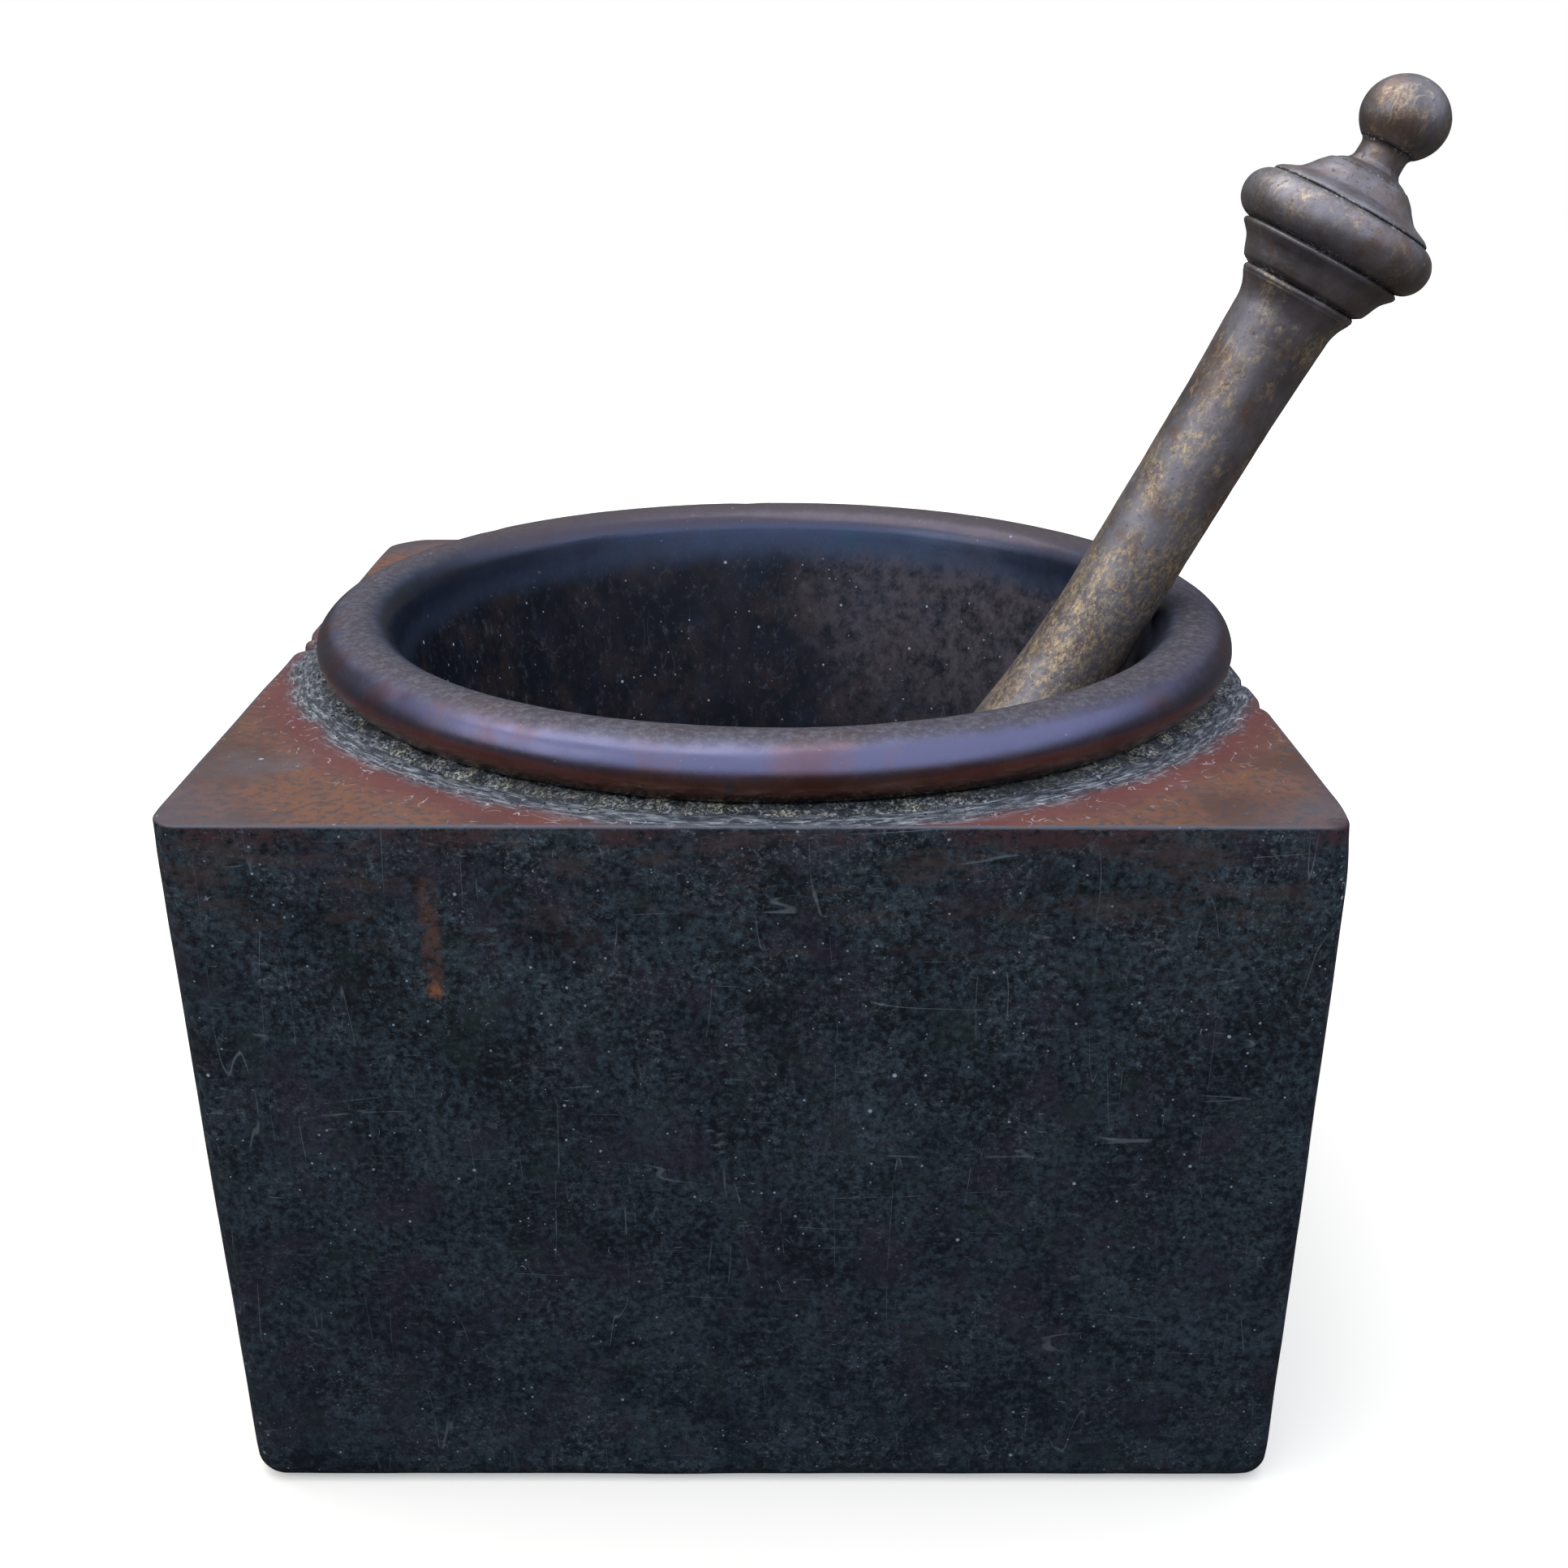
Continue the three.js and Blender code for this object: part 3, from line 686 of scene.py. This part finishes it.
def pestle_material(name, gold, grooves):
    """Handled bronze: grey-brown, flecked gold where hands wear it, with dirt in the grooves."""
    s = Shader(name)
    tone = s.noise(15, 5, 0.6, stretch=(1, 1, 0.6))
    grit = s.noise(1.3, 8, 0.75, shift=5)
    base = s.mix(PESTLE_BROWN, PESTLE_GREY, s.step(tone, 0.34, 0.66))
    russet = s.step(s.noise(12, 6, 0.65, shift=15), 0.47, 0.64)
    base = s.mix(base, PESTLE_RUSSET, s.times(russet, 0.60))
    near_rim = s.times(s.step(s.z, -10, -70), 0.13)
    worn = s.step(s.plus(s.noise(13, 6, 0.72, shift=17, stretch=(1, 1, 0.8)), near_rim), 0.48, 0.64)
    flaked = s.step(s.noise(1.5, 8, 0.9, shift=19, stretch=(1, 1, 0.7)), 0.46, 0.60)
    base = s.mix(base, PESTLE_GOLD, s.times(worn, flaked, gold))
    pitted = s.step(s.noise(1.6, 8, 0.8, shift=21), 0.56, 0.68)
    base = s.mix(base, PESTLE_PITS, s.times(pitted, 0.72))
    scores = s.times(
        s.hairs(9, 0.008, stretch=(1, 1, 0.5), shift=25, turn=(0.9, 0.3, 0)),
        s.step(s.noise(9, 3, 0.6, shift=27), 0.5, 0.6),
    )
    base = s.mix(base, PESTLE_SCORES, s.times(scores, 0.55 * gold))
    dirt = groove_dirt(s, grooves)
    base = s.mix(base, PESTLE_DIRT, s.times(dirt, 0.75))
    crumbs = s.times(
        s.step(s.noise(0.8, 6, 0.8, shift=29), 0.50, 0.60),
        s.step(s.noise(6, 4, 0.6, shift=31), 0.42, 0.56),
    )
    base = s.mix(base, PESTLE_CRUMBS, s.times(crumbs, dirt, 0.9))
    base = s.mix(base, PESTLE_FLECKS, s.times(s.specks(4.2, 0.12, 3.0, shift=37), 0.7))
    roughness = s.plus(s.blend(0.34, 0.52, s.step(grit, 0.34, 0.66)), s.times(dirt, 0.3))
    height = s.minus(s.times(grit, 0.8), s.times(pitted, 0.4))
    return s.finish(base, roughness, 0.70, s.bump(height, 0.09))


# Rod
ROD_DARK = (0.20, 0.20, 0.21)
ROD_PALE = (0.42, 0.42, 0.43)


def rod_material():
    """Plain drawn steel bar."""
    s = Shader("rod_steel")
    grain = s.noise(0.8, 4, 0.6, stretch=(1, 1, 0.1))
    base = s.mix(ROD_DARK, ROD_PALE, grain)
    return s.finish(base, s.blend(0.3, 0.5, grain), 1.0, s.bump(grain, 0.05))


# Floor
FLOOR_SEEN = (0.82, 0.76, 0.60)
FLOOR_SEEN_PALER = (0.84, 0.78, 0.62)
FLOOR_SEEN_GLOW = 0.26
FLOOR_UNSEEN = (0.075, 0.065, 0.050)


def floor_material():
    """Pale to the eye, dim to the object, so that the undersides stay dark."""
    s = Shader("studio_floor")
    seen = s.node("ShaderNodeLightPath").outputs["Is Camera Ray"]
    pale = s.mix(FLOOR_SEEN, FLOOR_SEEN_PALER, s.noise(300, 3))
    s.principled.inputs["Emission Color"].default_value = (1, 1, 1, 1)
    s.put(s.principled.inputs["Emission Strength"], s.times(seen, FLOOR_SEEN_GLOW))
    base = s.mix(FLOOR_UNSEEN, pale, seen)
    return s.finish(base, 0.9, 0.0, s.bump(s.noise(60, 2), 0.01), specular=0.05)


# ---- the block ----

# Mesh steps: along a side, round an upright edge, round the base edge, up a side, round the top edge
SIDE_STEPS = 150
CORNER_STEPS = 24
BASE_STEPS = 8
LEVEL_STEPS = 52
TOP_STEPS = 6
# How much narrower the block is at its foot, as a share of its width, and how far the foot stands to +X
BLOCK_DRAFT = 0.015
BLOCK_SKEW = 1.5 * MM
BASE_EDGE = 5 * MM
TOP_EDGE = 0.7 * MM
# Plan radius of the upright edges: back right, back left, front left, front right
UPRIGHT_EDGES = (7 * MM, 11 * MM, 7 * MM, 4.5 * MM)
SMALLEST_EDGE = 3 * MM
# Clearance between the bowl and its seat
SEAT_GAP = 0.3 * MM
# Unevenness of the cast skin: depth and size
SKIN_DEPTH = 0.22 * MM
SKIN_LUMPS = 45 * MM
# Knocks on corners and edges: place as shares of the block's half width and height, reach and depth in mm
EDGE_KNOCKS = (
    (1.0, -1.0, 1.0, 17, 2.0),
    (-1.0, -1.0, 1.0, 12, 1.0),
    (-1.0, 1.0, 1.0, 16, 1.2),
    (1.0, 1.0, 1.0, 16, 1.4),
    (-1.0, 0.00, 1.0, 8, 2.0),
    (-1.0, 0.07, 1.0, 6, 1.3),
    (1.0, -0.24, 1.0, 5, 1.3),
    (1.0, -0.385, 1.0, 6, 1.3),
    (-1.0, -1.0, 0.16, 6, -0.8),
    (-1.0, -1.0, 0.13, 4, 0.8),
    (0.45, -1.0, 1.0, 5, 0.4),
    (-0.86, -1.0, 1.0, 4, 0.6),
    (1.0, -1.0, 0.0, 12, 2.2),
    (-1.0, -1.0, 0.0, 12, 1.6),
)


def block_level(half, height, inset=0.0):
    """A square with round corners, the same number of points at every level."""
    ring = []
    for corner, radius in enumerate(UPRIGHT_EDGES):
        radius = max(radius - inset * 0.5, SMALLEST_EDGE)
        turn = Matrix.Rotation(corner * math.pi / 2, 3, "Z")
        centre = half - radius
        for i in range(CORNER_STEPS):
            angle = i / (CORNER_STEPS - 1) * math.pi / 2
            x, y = centre + radius * math.cos(angle), centre + radius * math.sin(angle)
            ring.append(turn @ Vector((x, y, height)))
        following = UPRIGHT_EDGES[(corner + 1) % 4]
        following = max(following - inset * 0.5, SMALLEST_EDGE)
        for i in range(1, SIDE_STEPS):
            along = centre + (following - half - centre) * i / SIDE_STEPS
            ring.append(turn @ Vector((along, half, height)))
    return ring


def block_half(height):
    """Half width of the block at that height."""
    return BLOCK_HALF * (1 - BLOCK_DRAFT * (1 - height / BLOCK_TOP))


def circle_towards(ring, radius, height):
    """Points on a circle about the bowl's axis, each in the direction of a point of ring."""
    points = []
    for point in ring:
        arm = Vector((point.x - BOWL_CENTRE.x, point.y - BOWL_CENTRE.y, 0)).normalized()
        points.append(Vector((BOWL_CENTRE.x, BOWL_CENTRE.y, height)) + arm * radius)
    return points


def between(first, second, steps):
    """Levels between two levels, without the first and with the second."""
    return [[a.lerp(b, i / steps) for a, b in zip(first, second)] for i in range(1, steps + 1)]


def bowl_radius_and_centre():
    """Radius of the bowl's round floor and the height of its centre."""
    touch = math.atan(BEAD_HALF_HEIGHT / BEAD_HALF_WIDTH * math.tan(WALL_LEAN))
    wall_top = BEAD_RADIUS - BEAD_HALF_WIDTH * math.cos(touch)
    wall_top_z = BEAD_Z + BEAD_HALF_HEIGHT * math.sin(touch)
    reach = wall_top * math.cos(WALL_LEAN) - (wall_top_z - BOWL_FLOOR_Z) * math.sin(WALL_LEAN)
    radius = reach / (1 - math.sin(WALL_LEAN))
    return radius, BOWL_FLOOR_Z + radius


FLOOR_RADIUS, FLOOR_CENTRE_Z = bowl_radius_and_centre()


def block_wear(point):
    """Where a point of the clean block ends up: leaning a little, with knocked corners and edges."""
    moved = point.copy()
    moved.x += BLOCK_SKEW * (1 - point.z / BLOCK_TOP)
    middle = Vector((0, 0, BLOCK_TOP / 2))
    inward = (middle - point).normalized()
    for x, y, z, reach, depth in EDGE_KNOCKS:
        spot = Vector((x * BLOCK_HALF, y * BLOCK_HALF, z * BLOCK_TOP))
        near = nearness(point, spot, reach)
        moved += inward * depth * MM * near * near
    return moved


def outside_levels():
    """Rings of points up the outside of the block, from its underside to its top face."""
    levels = []
    for i in range(BASE_STEPS + 1):
        angle = i / BASE_STEPS * math.pi / 2
        height = BASE_EDGE * (1 - math.cos(angle))
        inset = BASE_EDGE * (1 - math.sin(angle))
        levels.append(block_level(block_half(height) - inset, height, inset))
    for i in range(1, LEVEL_STEPS):
        height = BASE_EDGE + (BLOCK_TOP - TOP_EDGE - BASE_EDGE) * i / LEVEL_STEPS
        levels.append(block_level(block_half(height), height))
    for i in range(TOP_STEPS + 1):
        angle = i / TOP_STEPS * math.pi / 2
        height = BLOCK_TOP - TOP_EDGE * (1 - math.sin(angle))
        levels.append(block_level(block_half(height) - TOP_EDGE * (1 - math.cos(angle)), height))
    return levels


def seat_levels(top_ring):
    """Rings of points from the top face's edge in to the mouth, and down the collar and the bowl's seat."""
    mouth = circle_towards(top_ring, COLLAR_RADIUS, BLOCK_TOP)
    levels = between(top_ring, mouth, 22)
    seat = FLOOR_RADIUS + BOWL_WALL + SEAT_GAP
    collar_z = BLOCK_TOP - COLLAR_DEPTH
    seat_top = seat / math.cos(WALL_LEAN) + (collar_z - FLOOR_CENTRE_Z) * math.tan(WALL_LEAN)
    levels += between(mouth, circle_towards(mouth, COLLAR_RADIUS, collar_z), 4)
    levels.append(circle_towards(mouth, seat_top, collar_z))
    for radius, height in arc((0, FLOOR_CENTRE_Z), (seat, seat), -WALL_LEAN_DEGREES, -87, 12):
        levels.append(circle_towards(mouth, radius, height))
    return levels


def build_block():
    levels = outside_levels()
    levels += seat_levels(levels[-1])
    around = len(levels[0])
    vertices = [block_wear(point) for level in levels for point in level]
    faces = []
    for level in range(len(levels) - 1):
        low, high = level * around, (level + 1) * around
        for i in range(around):
            j = (i + 1) % around
            faces.append((low + i, low + j, high + j, high + i))
    faces.append(tuple(reversed(range(around))))
    last = (len(levels) - 1) * around
    faces.append(tuple(range(last, last + around)))
    block = make_object("block_casting", vertices, faces, sharp=60)
    displace(block, lambda p: SKIN_DEPTH * lumps(p, SKIN_LUMPS, 3, 4.0) if p.z > 1 * MM else 0.0)
    return finish_piece(block, block_material(), "mortar", "mortar_block")


# ---- the bowl ----

BOWL_SEGMENTS = 288
# Knocks on the bead: direction round the bowl and up the bead in degrees, reach and depth in mm
RIM_KNOCKS = (
    (186, 75, 7, 0.7),
    (190, 60, 4, 0.4),
    (224, 40, 6, 0.35),
    (250, 20, 8, 0.3),
    (318, 60, 5, 0.3),
    (20, 70, 6, 0.4),
    (95, 60, 7, 0.4),
    (140, 50, 6, 0.5),
)


def bead_point(azimuth, up):
    """The point of the bead's surface in those directions round the bowl and up the bead, in degrees."""
    angle, rise = math.radians(azimuth), math.radians(up)
    spot = Vector((BEAD_RADIUS * math.cos(angle), BEAD_RADIUS * math.sin(angle), BEAD_Z))
    outward = (math.cos(angle) * math.cos(rise), math.sin(angle) * math.cos(rise), math.sin(rise))
    return spot + Vector(outward) * BEAD_HALF_HEIGHT


def bowl_wear(point):
    """How far out the bowl's skin lies at a point: slightly uneven, with knocks on the bead."""
    uneven = 0.22 * MM * lumps(point, 60 * MM, 2, 1.0)
    uneven += 0.05 * MM * lumps(point, 8 * MM, 3, 2.0)
    for azimuth, up, reach, depth in RIM_KNOCKS:
        near = nearness(point, bead_point(azimuth, up), reach)
        uneven -= depth * MM * near * near
    return uneven


def build_bowl():
    outer = FLOOR_RADIUS + BOWL_WALL
    touch = 180 - math.degrees(math.atan(BEAD_HALF_HEIGHT / BEAD_HALF_WIDTH * math.tan(WALL_LEAN)))
    outline = (
        arc((0, FLOOR_CENTRE_Z), (outer, outer), -90, -WALL_LEAN_DEGREES, 40)
        + arc((BEAD_RADIUS, BEAD_Z), (BEAD_HALF_WIDTH, BEAD_HALF_HEIGHT), -120, touch, 64)
        + arc((0, FLOOR_CENTRE_Z), (FLOOR_RADIUS, FLOOR_RADIUS), -WALL_LEAN_DEGREES, -90, 60)
    )
    outline[0] = (0.0, outline[0][1])
    outline[-1] = (0.0, outline[-1][1])
    bowl = lathe("bowl_casting", refine(outline, 2.2 * MM), BOWL_SEGMENTS)
    displace(bowl, bowl_wear)
    bowl.location = BOWL_CENTRE
    return finish_piece(bowl, bowl_material(), "mortar", "mortar_bowl")


# ---- the bedding ----

BEDDING_SEGMENTS = 900
BEDDING_GAP = 0.1 * MM
# The crust's foot sits this far down in the top face and this far out from the rim
CRUST_SUNK = 0.15 * MM
CRUST_SPILL = 0.2 * MM
CRUMB_COUNT = 1500
CRUMB_SPREAD = 10 * MM
# Share of a turn from one crumb to the next
CRUMB_STRIDE = 0.6180339887


def bedding_outline():
    """The crust under the bead and the sleeve of packing below it, down the outside of the bowl."""
    bed = BLOCK_TOP - CRUST_SUNK
    sleeve_floor = bedding_low.z
    wall = (FLOOR_RADIUS + BOWL_WALL) / math.cos(WALL_LEAN)
    wall = wall + (sleeve_floor - FLOOR_CENTRE_Z) * math.tan(WALL_LEAN) + 0.4 * MM
    oval = (BEAD_HALF_WIDTH + BEDDING_GAP, BEAD_HALF_HEIGHT + BEDDING_GAP)
    under_bead = arc((BEAD_RADIUS, BEAD_Z), oval, -58, -112, 20)
    spill = (RIM_RADIUS + CRUST_SPILL, bed)
    shoulder = (under_bead[0][0] + 1.9 * MM, under_bead[0][1] - 0.5 * MM)
    sleeve = refine([
        (wall, sleeve_floor),
        (COLLAR_RADIUS - BEDDING_GAP, sleeve_floor),
        (COLLAR_RADIUS - BEDDING_GAP, bed),
    ], 4 * MM)
    return sleeve + refine([spill, shoulder, under_bead[0]], 0.45 * MM)[:-1] + under_bead


def crumble(point):
    """How far out the bedding's skin lies at a point: crumbled where it shows, clean under the bead."""
    radius = math.hypot(point.x, point.y)
    if point.z < BLOCK_TOP - 0.5 * MM or radius < BEAD_RADIUS + 4 * MM:
        return 0.0
    ragged = 0.65 * MM * lumps(point, 5 * MM, 4, 3.0) + 0.25 * MM * lumps(point, 1.0 * MM, 3, 5.0)
    return ragged - 0.20 * MM


def build_bedding():
    bedding = lathe("bedding_crust", bedding_outline(), BEDDING_SEGMENTS, closed=True, sharp=180)
    displace(bedding, crumble)
    bedding.location = BOWL_CENTRE
    return finish_piece(bedding, bedding_material(), "mortar", "bedding_ring")


def build_crumbs():
    """Loose grains of bedding along the foot of the bead."""
    work = bmesh.new()
    for i in range(CRUMB_COUNT):
        pick = noise.cell_vector(Vector((i * 1.37, i * 0.71, 5.5)))
        angle = 2 * math.pi * ((i * CRUMB_STRIDE) % 1.0)
        # Most lie close to the rim, and those further out are smaller
        spread = abs(pick.x) ** 2.2
        radius = RIM_RADIUS - 2.0 * MM + CRUMB_SPREAD * spread
        size = (0.12 + 0.36 * abs(pick.y) ** 2) * MM * (1.2 - 0.6 * spread)
        x, y = BOWL_CENTRE.x + radius * math.cos(angle), radius * math.sin(angle)
        place = Vector((x, y, BLOCK_TOP + 0.3 * size))
        if max(abs(place.x), abs(place.y)) > BLOCK_HALF - 2 * MM:
            continue
        turn = Quaternion(Vector((pick.z, pick.x, 1)), 6 * pick.y).to_matrix().to_4x4()
        shape = Matrix.Diagonal((1.0, 0.6 + 0.4 * abs(pick.z), 0.7, 1.0))
        pose = Matrix.Translation(place) @ turn @ shape
        made = bmesh.ops.create_icosphere(work, subdivisions=1, radius=size, matrix=pose)
        for vertex in made["verts"]:
            vertex.co += (vertex.co - place) * 0.35 * noise.noise(vertex.co / (0.4 * MM))
    mesh = bpy.data.meshes.new("bedding_crumbs")
    work.to_mesh(mesh)
    work.free()
    mesh.shade_smooth()
    crumbs = bpy.data.objects.new("bedding_crumbs", mesh)
    bpy.context.scene.collection.objects.link(crumbs)
    return finish_piece(crumbs, bedding_material(), "mortar")


# ---- the pestle ----

PESTLE_SEGMENTS = 144
ROD_HOLE = 3.3 * MM
# Handle pieces reach this far past their CAD ends, which closes the seams between them
SEAM = 0.3 * MM
# Radii of the shaft, its grip end and its lip, as shares of the head's radius
SHAFT_SHARE = 0.504
GRIP_SHARE = 0.535
LIP_SHARE = 0.6375


def turned_piece(name, outline, material, node, closed=True):
    """Turn an outline about the pestle's axis, with a slightly uneven skin."""
    piece = lathe(name, refine(outline, 0.7 * MM, closed), PESTLE_SEGMENTS, closed)
    seed = float(len(name))

    def uneven(point):
        return 0.10 * MM * lumps(point, 14 * MM, 3, seed) + 0.03 * MM * lumps(point, 2.5 * MM, 3, seed + 2)

    displace(piece, uneven)
    piece.matrix_world = PESTLE_PLACE
    return finish_piece(piece, material, "pestle", node)


def build_shaft():
    low, high, head = span("pestle_shaft")
    shaft = SHAFT_SHARE * head
    grip = GRIP_SHARE * head
    lip = LIP_SHARE * head
    head_z = low + head
    hole_end = high - 24 * MM
    outline = arc((0, head_z), (head, head), -90, 0, 30)
    outline += s_curve((head, head_z + 12 * MM), (shaft, high - 90.6 * MM), 60)
    outline += [(shaft, high - 48 * MM)]
    outline += curve((shaft, high - 42 * MM), (grip, high - 9 * MM), 1.6, 10)
    outline += curve((grip, high - 8.6 * MM), (lip - 0.3 * MM, high - 2.0 * MM), 2.0, 10)
    outline += arc((lip - 0.9 * MM, high - 1.0 * MM), (0.9 * MM, 1.0 * MM), -50, 60, 8)
    outline += [(lip - 1.2 * MM, high), (ROD_HOLE, high), (ROD_HOLE, hole_end), (0, hole_end)]
    outline[0] = (0.0, outline[0][1])
    material = pestle_material("pestle_bronze_shaft", 0.95, [(high, 0.7 * MM)])
    return turned_piece("pestle_bar", outline, material, "pestle_shaft", closed=False)


def profile(low, wide, knots):
    """A turned outline from (share of the widest radius, height above the foot in mm) knots."""
    return through([(share * wide, low + height * MM) for share, height in knots])


def build_bell():
    low, high, wide = span("handle_bell")
    outline = [(ROD_HOLE, low - SEAM)]
    outline += profile(low, wide, (
        (0.700, -0.30), (0.735, 0.15), (0.785, 0.85), (0.812, 1.85), (0.828, 2.60), (0.856, 4.10),
        (0.895, 5.60), (0.960, 7.05), (0.992, 7.80), (0.998, 8.50), (0.975, 9.00), (0.940, 9.20),
    ))
    outline += [(ROD_HOLE, high)]
    material = pestle_material("pestle_bronze_bell", 0.20, [(low, 0.8 * MM), (high, 0.7 * MM)])
    return turned_piece("handle_bell_turned", outline, material, "handle_bell")


def build_torus():
    low, high, wide = span("handle_torus")
    half = (high - low) / 2
    outline = [(ROD_HOLE, low - SEAM)]
    outline += arc((wide - half * 1.03, low + half), (half * 1.03, half + SEAM), -90, 80, 40)
    outline += [(wide - 4.8 * MM, high), (ROD_HOLE, high)]
    material = pestle_material("pestle_bronze_torus", 0.75, [(low, 0.8 * MM), (high, 0.6 * MM)])
    return turned_piece("handle_ring_turned", outline, material, "handle_torus")


def build_dome():
    low, high, wide = span("handle_dome")
    outline = [(ROD_HOLE, low - SEAM)]
    outline += profile(low, wide, (
        (0.955, -0.30), (0.990, 0.05), (0.985, 0.55), (0.944, 1.25), (0.869, 2.00), (0.785, 2.75),
        (0.728, 3.50), (0.658, 5.00), (0.599, 6.50), (0.526, 8.00), (0.492, 8.55), (0.476, 8.62),
        (0.462, 8.78), (0.404, 9.50), (0.345, 10.05), (0.320, 10.40),
    ))
    outline += [(ROD_HOLE, high)]
    material = pestle_material("pestle_bronze_dome", 0.06, [(low, 0.6 * MM), (low + 8.65 * MM, 0.35 * MM)])
    return turned_piece("handle_dome_turned", outline, material, "handle_dome")


def build_neck():
    low, high, wide = span("handle_neck")
    outline = [(ROD_HOLE, low - SEAM)]
    outline += profile(low, wide, (
        (1.04, -0.45), (0.98, 0.10), (0.925, 0.80), (0.91, 2.00), (0.91, 3.60), (0.94, 4.50), (1.03, 5.30),
    ))
    outline += [(ROD_HOLE, high + SEAM)]
    material = pestle_material("pestle_bronze_neck", 0.30, [(high, 0.6 * MM)])
    return turned_piece("handle_neck_turned", outline, material, "handle_neck")


def build_ball():
    low, high, wide = span("handle_ball")
    half = (high - low) / 2 + 1.2 * MM
    centre = high - half
    foot = -math.degrees(math.asin((centre - low) / half))
    hole_end = centre + 2 * MM
    outline = [(0, hole_end), (ROD_HOLE, hole_end), (ROD_HOLE, low)]
    outline += arc((0, centre), (wide, half), foot, 90, 40)
    outline[-1] = (0.0, outline[-1][1])
    material = pestle_material("pestle_bronze_ball", 0.70, [(low, 0.9 * MM)])
    return turned_piece("handle_ball_turned", outline, material, "handle_ball", closed=False)


# ---- floor, light and camera ----

FLOOR_SIZE = 8.0
# How much the sky's brightness leans: a share of Y and of the distance to either side is added to the height
SKY_LEAN_Y = -0.3
SKY_LEAN_SIDEWAYS = 0.12
SKY_BACKDROP = (1, 1, 1, 1)
# Colours of the sky by height, from the horizon to overhead
SKY_LOWEST = (0.105, 0.090, 0.072, 1)
SKY_HIGHEST = (1.35, 1.50, 1.95, 1)
SKY_BETWEEN = (
    (0.30, (0.19, 0.185, 0.185, 1)),
    (0.50, (0.62, 0.68, 0.86, 1)),
    (0.68, (1.30, 1.44, 1.88, 1)),
)
# Name, place, size and power in metres and watts, and tint
LAMPS = (
    ("soft_overhead", (-0.5, 0.3, 1.9), 1.6, 15, (1.0, 0.96, 0.90)),
    ("soft_left", (-1.6, -0.7, 1.1), 1.2, 4, (1.0, 0.95, 0.88)),
)
SENSOR_WIDTH = 36
FOCAL_LENGTH = 39.44
CAMERA_PLACE = (5.9 * MM, -453.35 * MM, BLOCK_TOP + 138.85 * MM)
# Camera angles in degrees: down, to the right, and roll
CAMERA_PITCH = 21.57
CAMERA_YAW = 0.14
CAMERA_ROLL = 0.13


def build_floor():
    bpy.ops.mesh.primitive_grid_add(x_subdivisions=8, y_subdivisions=8, size=FLOOR_SIZE)
    floor = bpy.context.object
    floor.name = "studio_floor"
    floor.data.materials.append(floor_material())


def build_sky():
    """A soft sky that lights the object, and reaches lower in front and at the sides than behind."""
    world = bpy.data.worlds.new("studio")
    bpy.context.scene.world = world
    world.use_nodes = True
    tree = world.node_tree
    background = tree.nodes["Background"]
    coordinates = tree.nodes.new("ShaderNodeTexCoord")
    split = tree.nodes.new("ShaderNodeSeparateXYZ")
    ramp = tree.nodes.new("ShaderNodeValToRGB")
    path = tree.nodes.new("ShaderNodeLightPath")
    seen = tree.nodes.new("ShaderNodeMix")
    seen.data_type = "RGBA"
    tree.links.new(coordinates.outputs["Generated"], split.inputs[0])
    sideways = tree.nodes.new("ShaderNodeMath")
    sideways.operation = "ABSOLUTE"
    tree.links.new(split.outputs["X"], sideways.inputs[0])
    height = split.outputs["Z"]
    for direction, share in ((split.outputs["Y"], SKY_LEAN_Y), (sideways.outputs[0], SKY_LEAN_SIDEWAYS)):
        lean = tree.nodes.new("ShaderNodeMath")
        lean.operation = "MULTIPLY_ADD"
        lean.inputs[1].default_value = share
        tree.links.new(direction, lean.inputs[0])
        tree.links.new(height, lean.inputs[2])
        height = lean.outputs[0]
    tree.links.new(height, ramp.inputs["Fac"])
    stops = ramp.color_ramp.elements
    stops[0].position = 0.0
    stops[0].color = SKY_LOWEST
    stops[1].position = 1.0
    stops[1].color = SKY_HIGHEST
    for position, sky in SKY_BETWEEN:
        stops.new(position).color = sky
    tree.links.new(path.outputs["Is Camera Ray"], seen.inputs[0])
    tree.links.new(ramp.outputs["Color"], seen.inputs[6])
    seen.inputs[7].default_value = SKY_BACKDROP
    tree.links.new(seen.outputs[2], background.inputs["Color"])
    background.inputs["Strength"].default_value = 1.0


def build_lamps():
    for name, place, size, power, tint in LAMPS:
        lamp = bpy.data.lights.new(name, "AREA")
        lamp.energy = power
        lamp.size = size
        lamp.color = tint
        holder = bpy.data.objects.new(name, lamp)
        holder.location = place
        aim = Vector((0, 0, BLOCK_TOP)) - Vector(place)
        holder.rotation_euler = aim.to_track_quat("-Z", "Y").to_euler()
        bpy.context.scene.collection.objects.link(holder)


def build_camera():
    """From the front, a little right of centre, looking down over the rim."""
    data = bpy.data.cameras.new("camera")
    camera = bpy.data.objects.new("camera", data)
    bpy.context.scene.collection.objects.link(camera)
    bpy.context.scene.camera = camera
    data.sensor_width = SENSOR_WIDTH
    data.lens = FOCAL_LENGTH
    data.clip_start = 0.01
    data.clip_end = 50
    camera.location = CAMERA_PLACE
    turn = Matrix.Rotation(math.radians(-CAMERA_YAW), 4, "Z")
    tip = Matrix.Rotation(math.pi / 2 - math.radians(CAMERA_PITCH), 4, "X")
    roll = Matrix.Rotation(math.radians(CAMERA_ROLL), 4, "Z")
    camera.rotation_euler = (turn @ tip @ roll).to_euler()


build_camera()
build_block()
build_bowl()
build_bedding()
build_crumbs()
build_shaft()
build_bell()
build_torus()
build_dome()
build_neck()
build_ball()
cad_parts["handle_rod"].data.materials.clear()
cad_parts["handle_rod"].data.materials.append(rod_material())
build_floor()
build_sky()
build_lamps()
bpy.context.scene.view_settings.view_transform = "Standard"
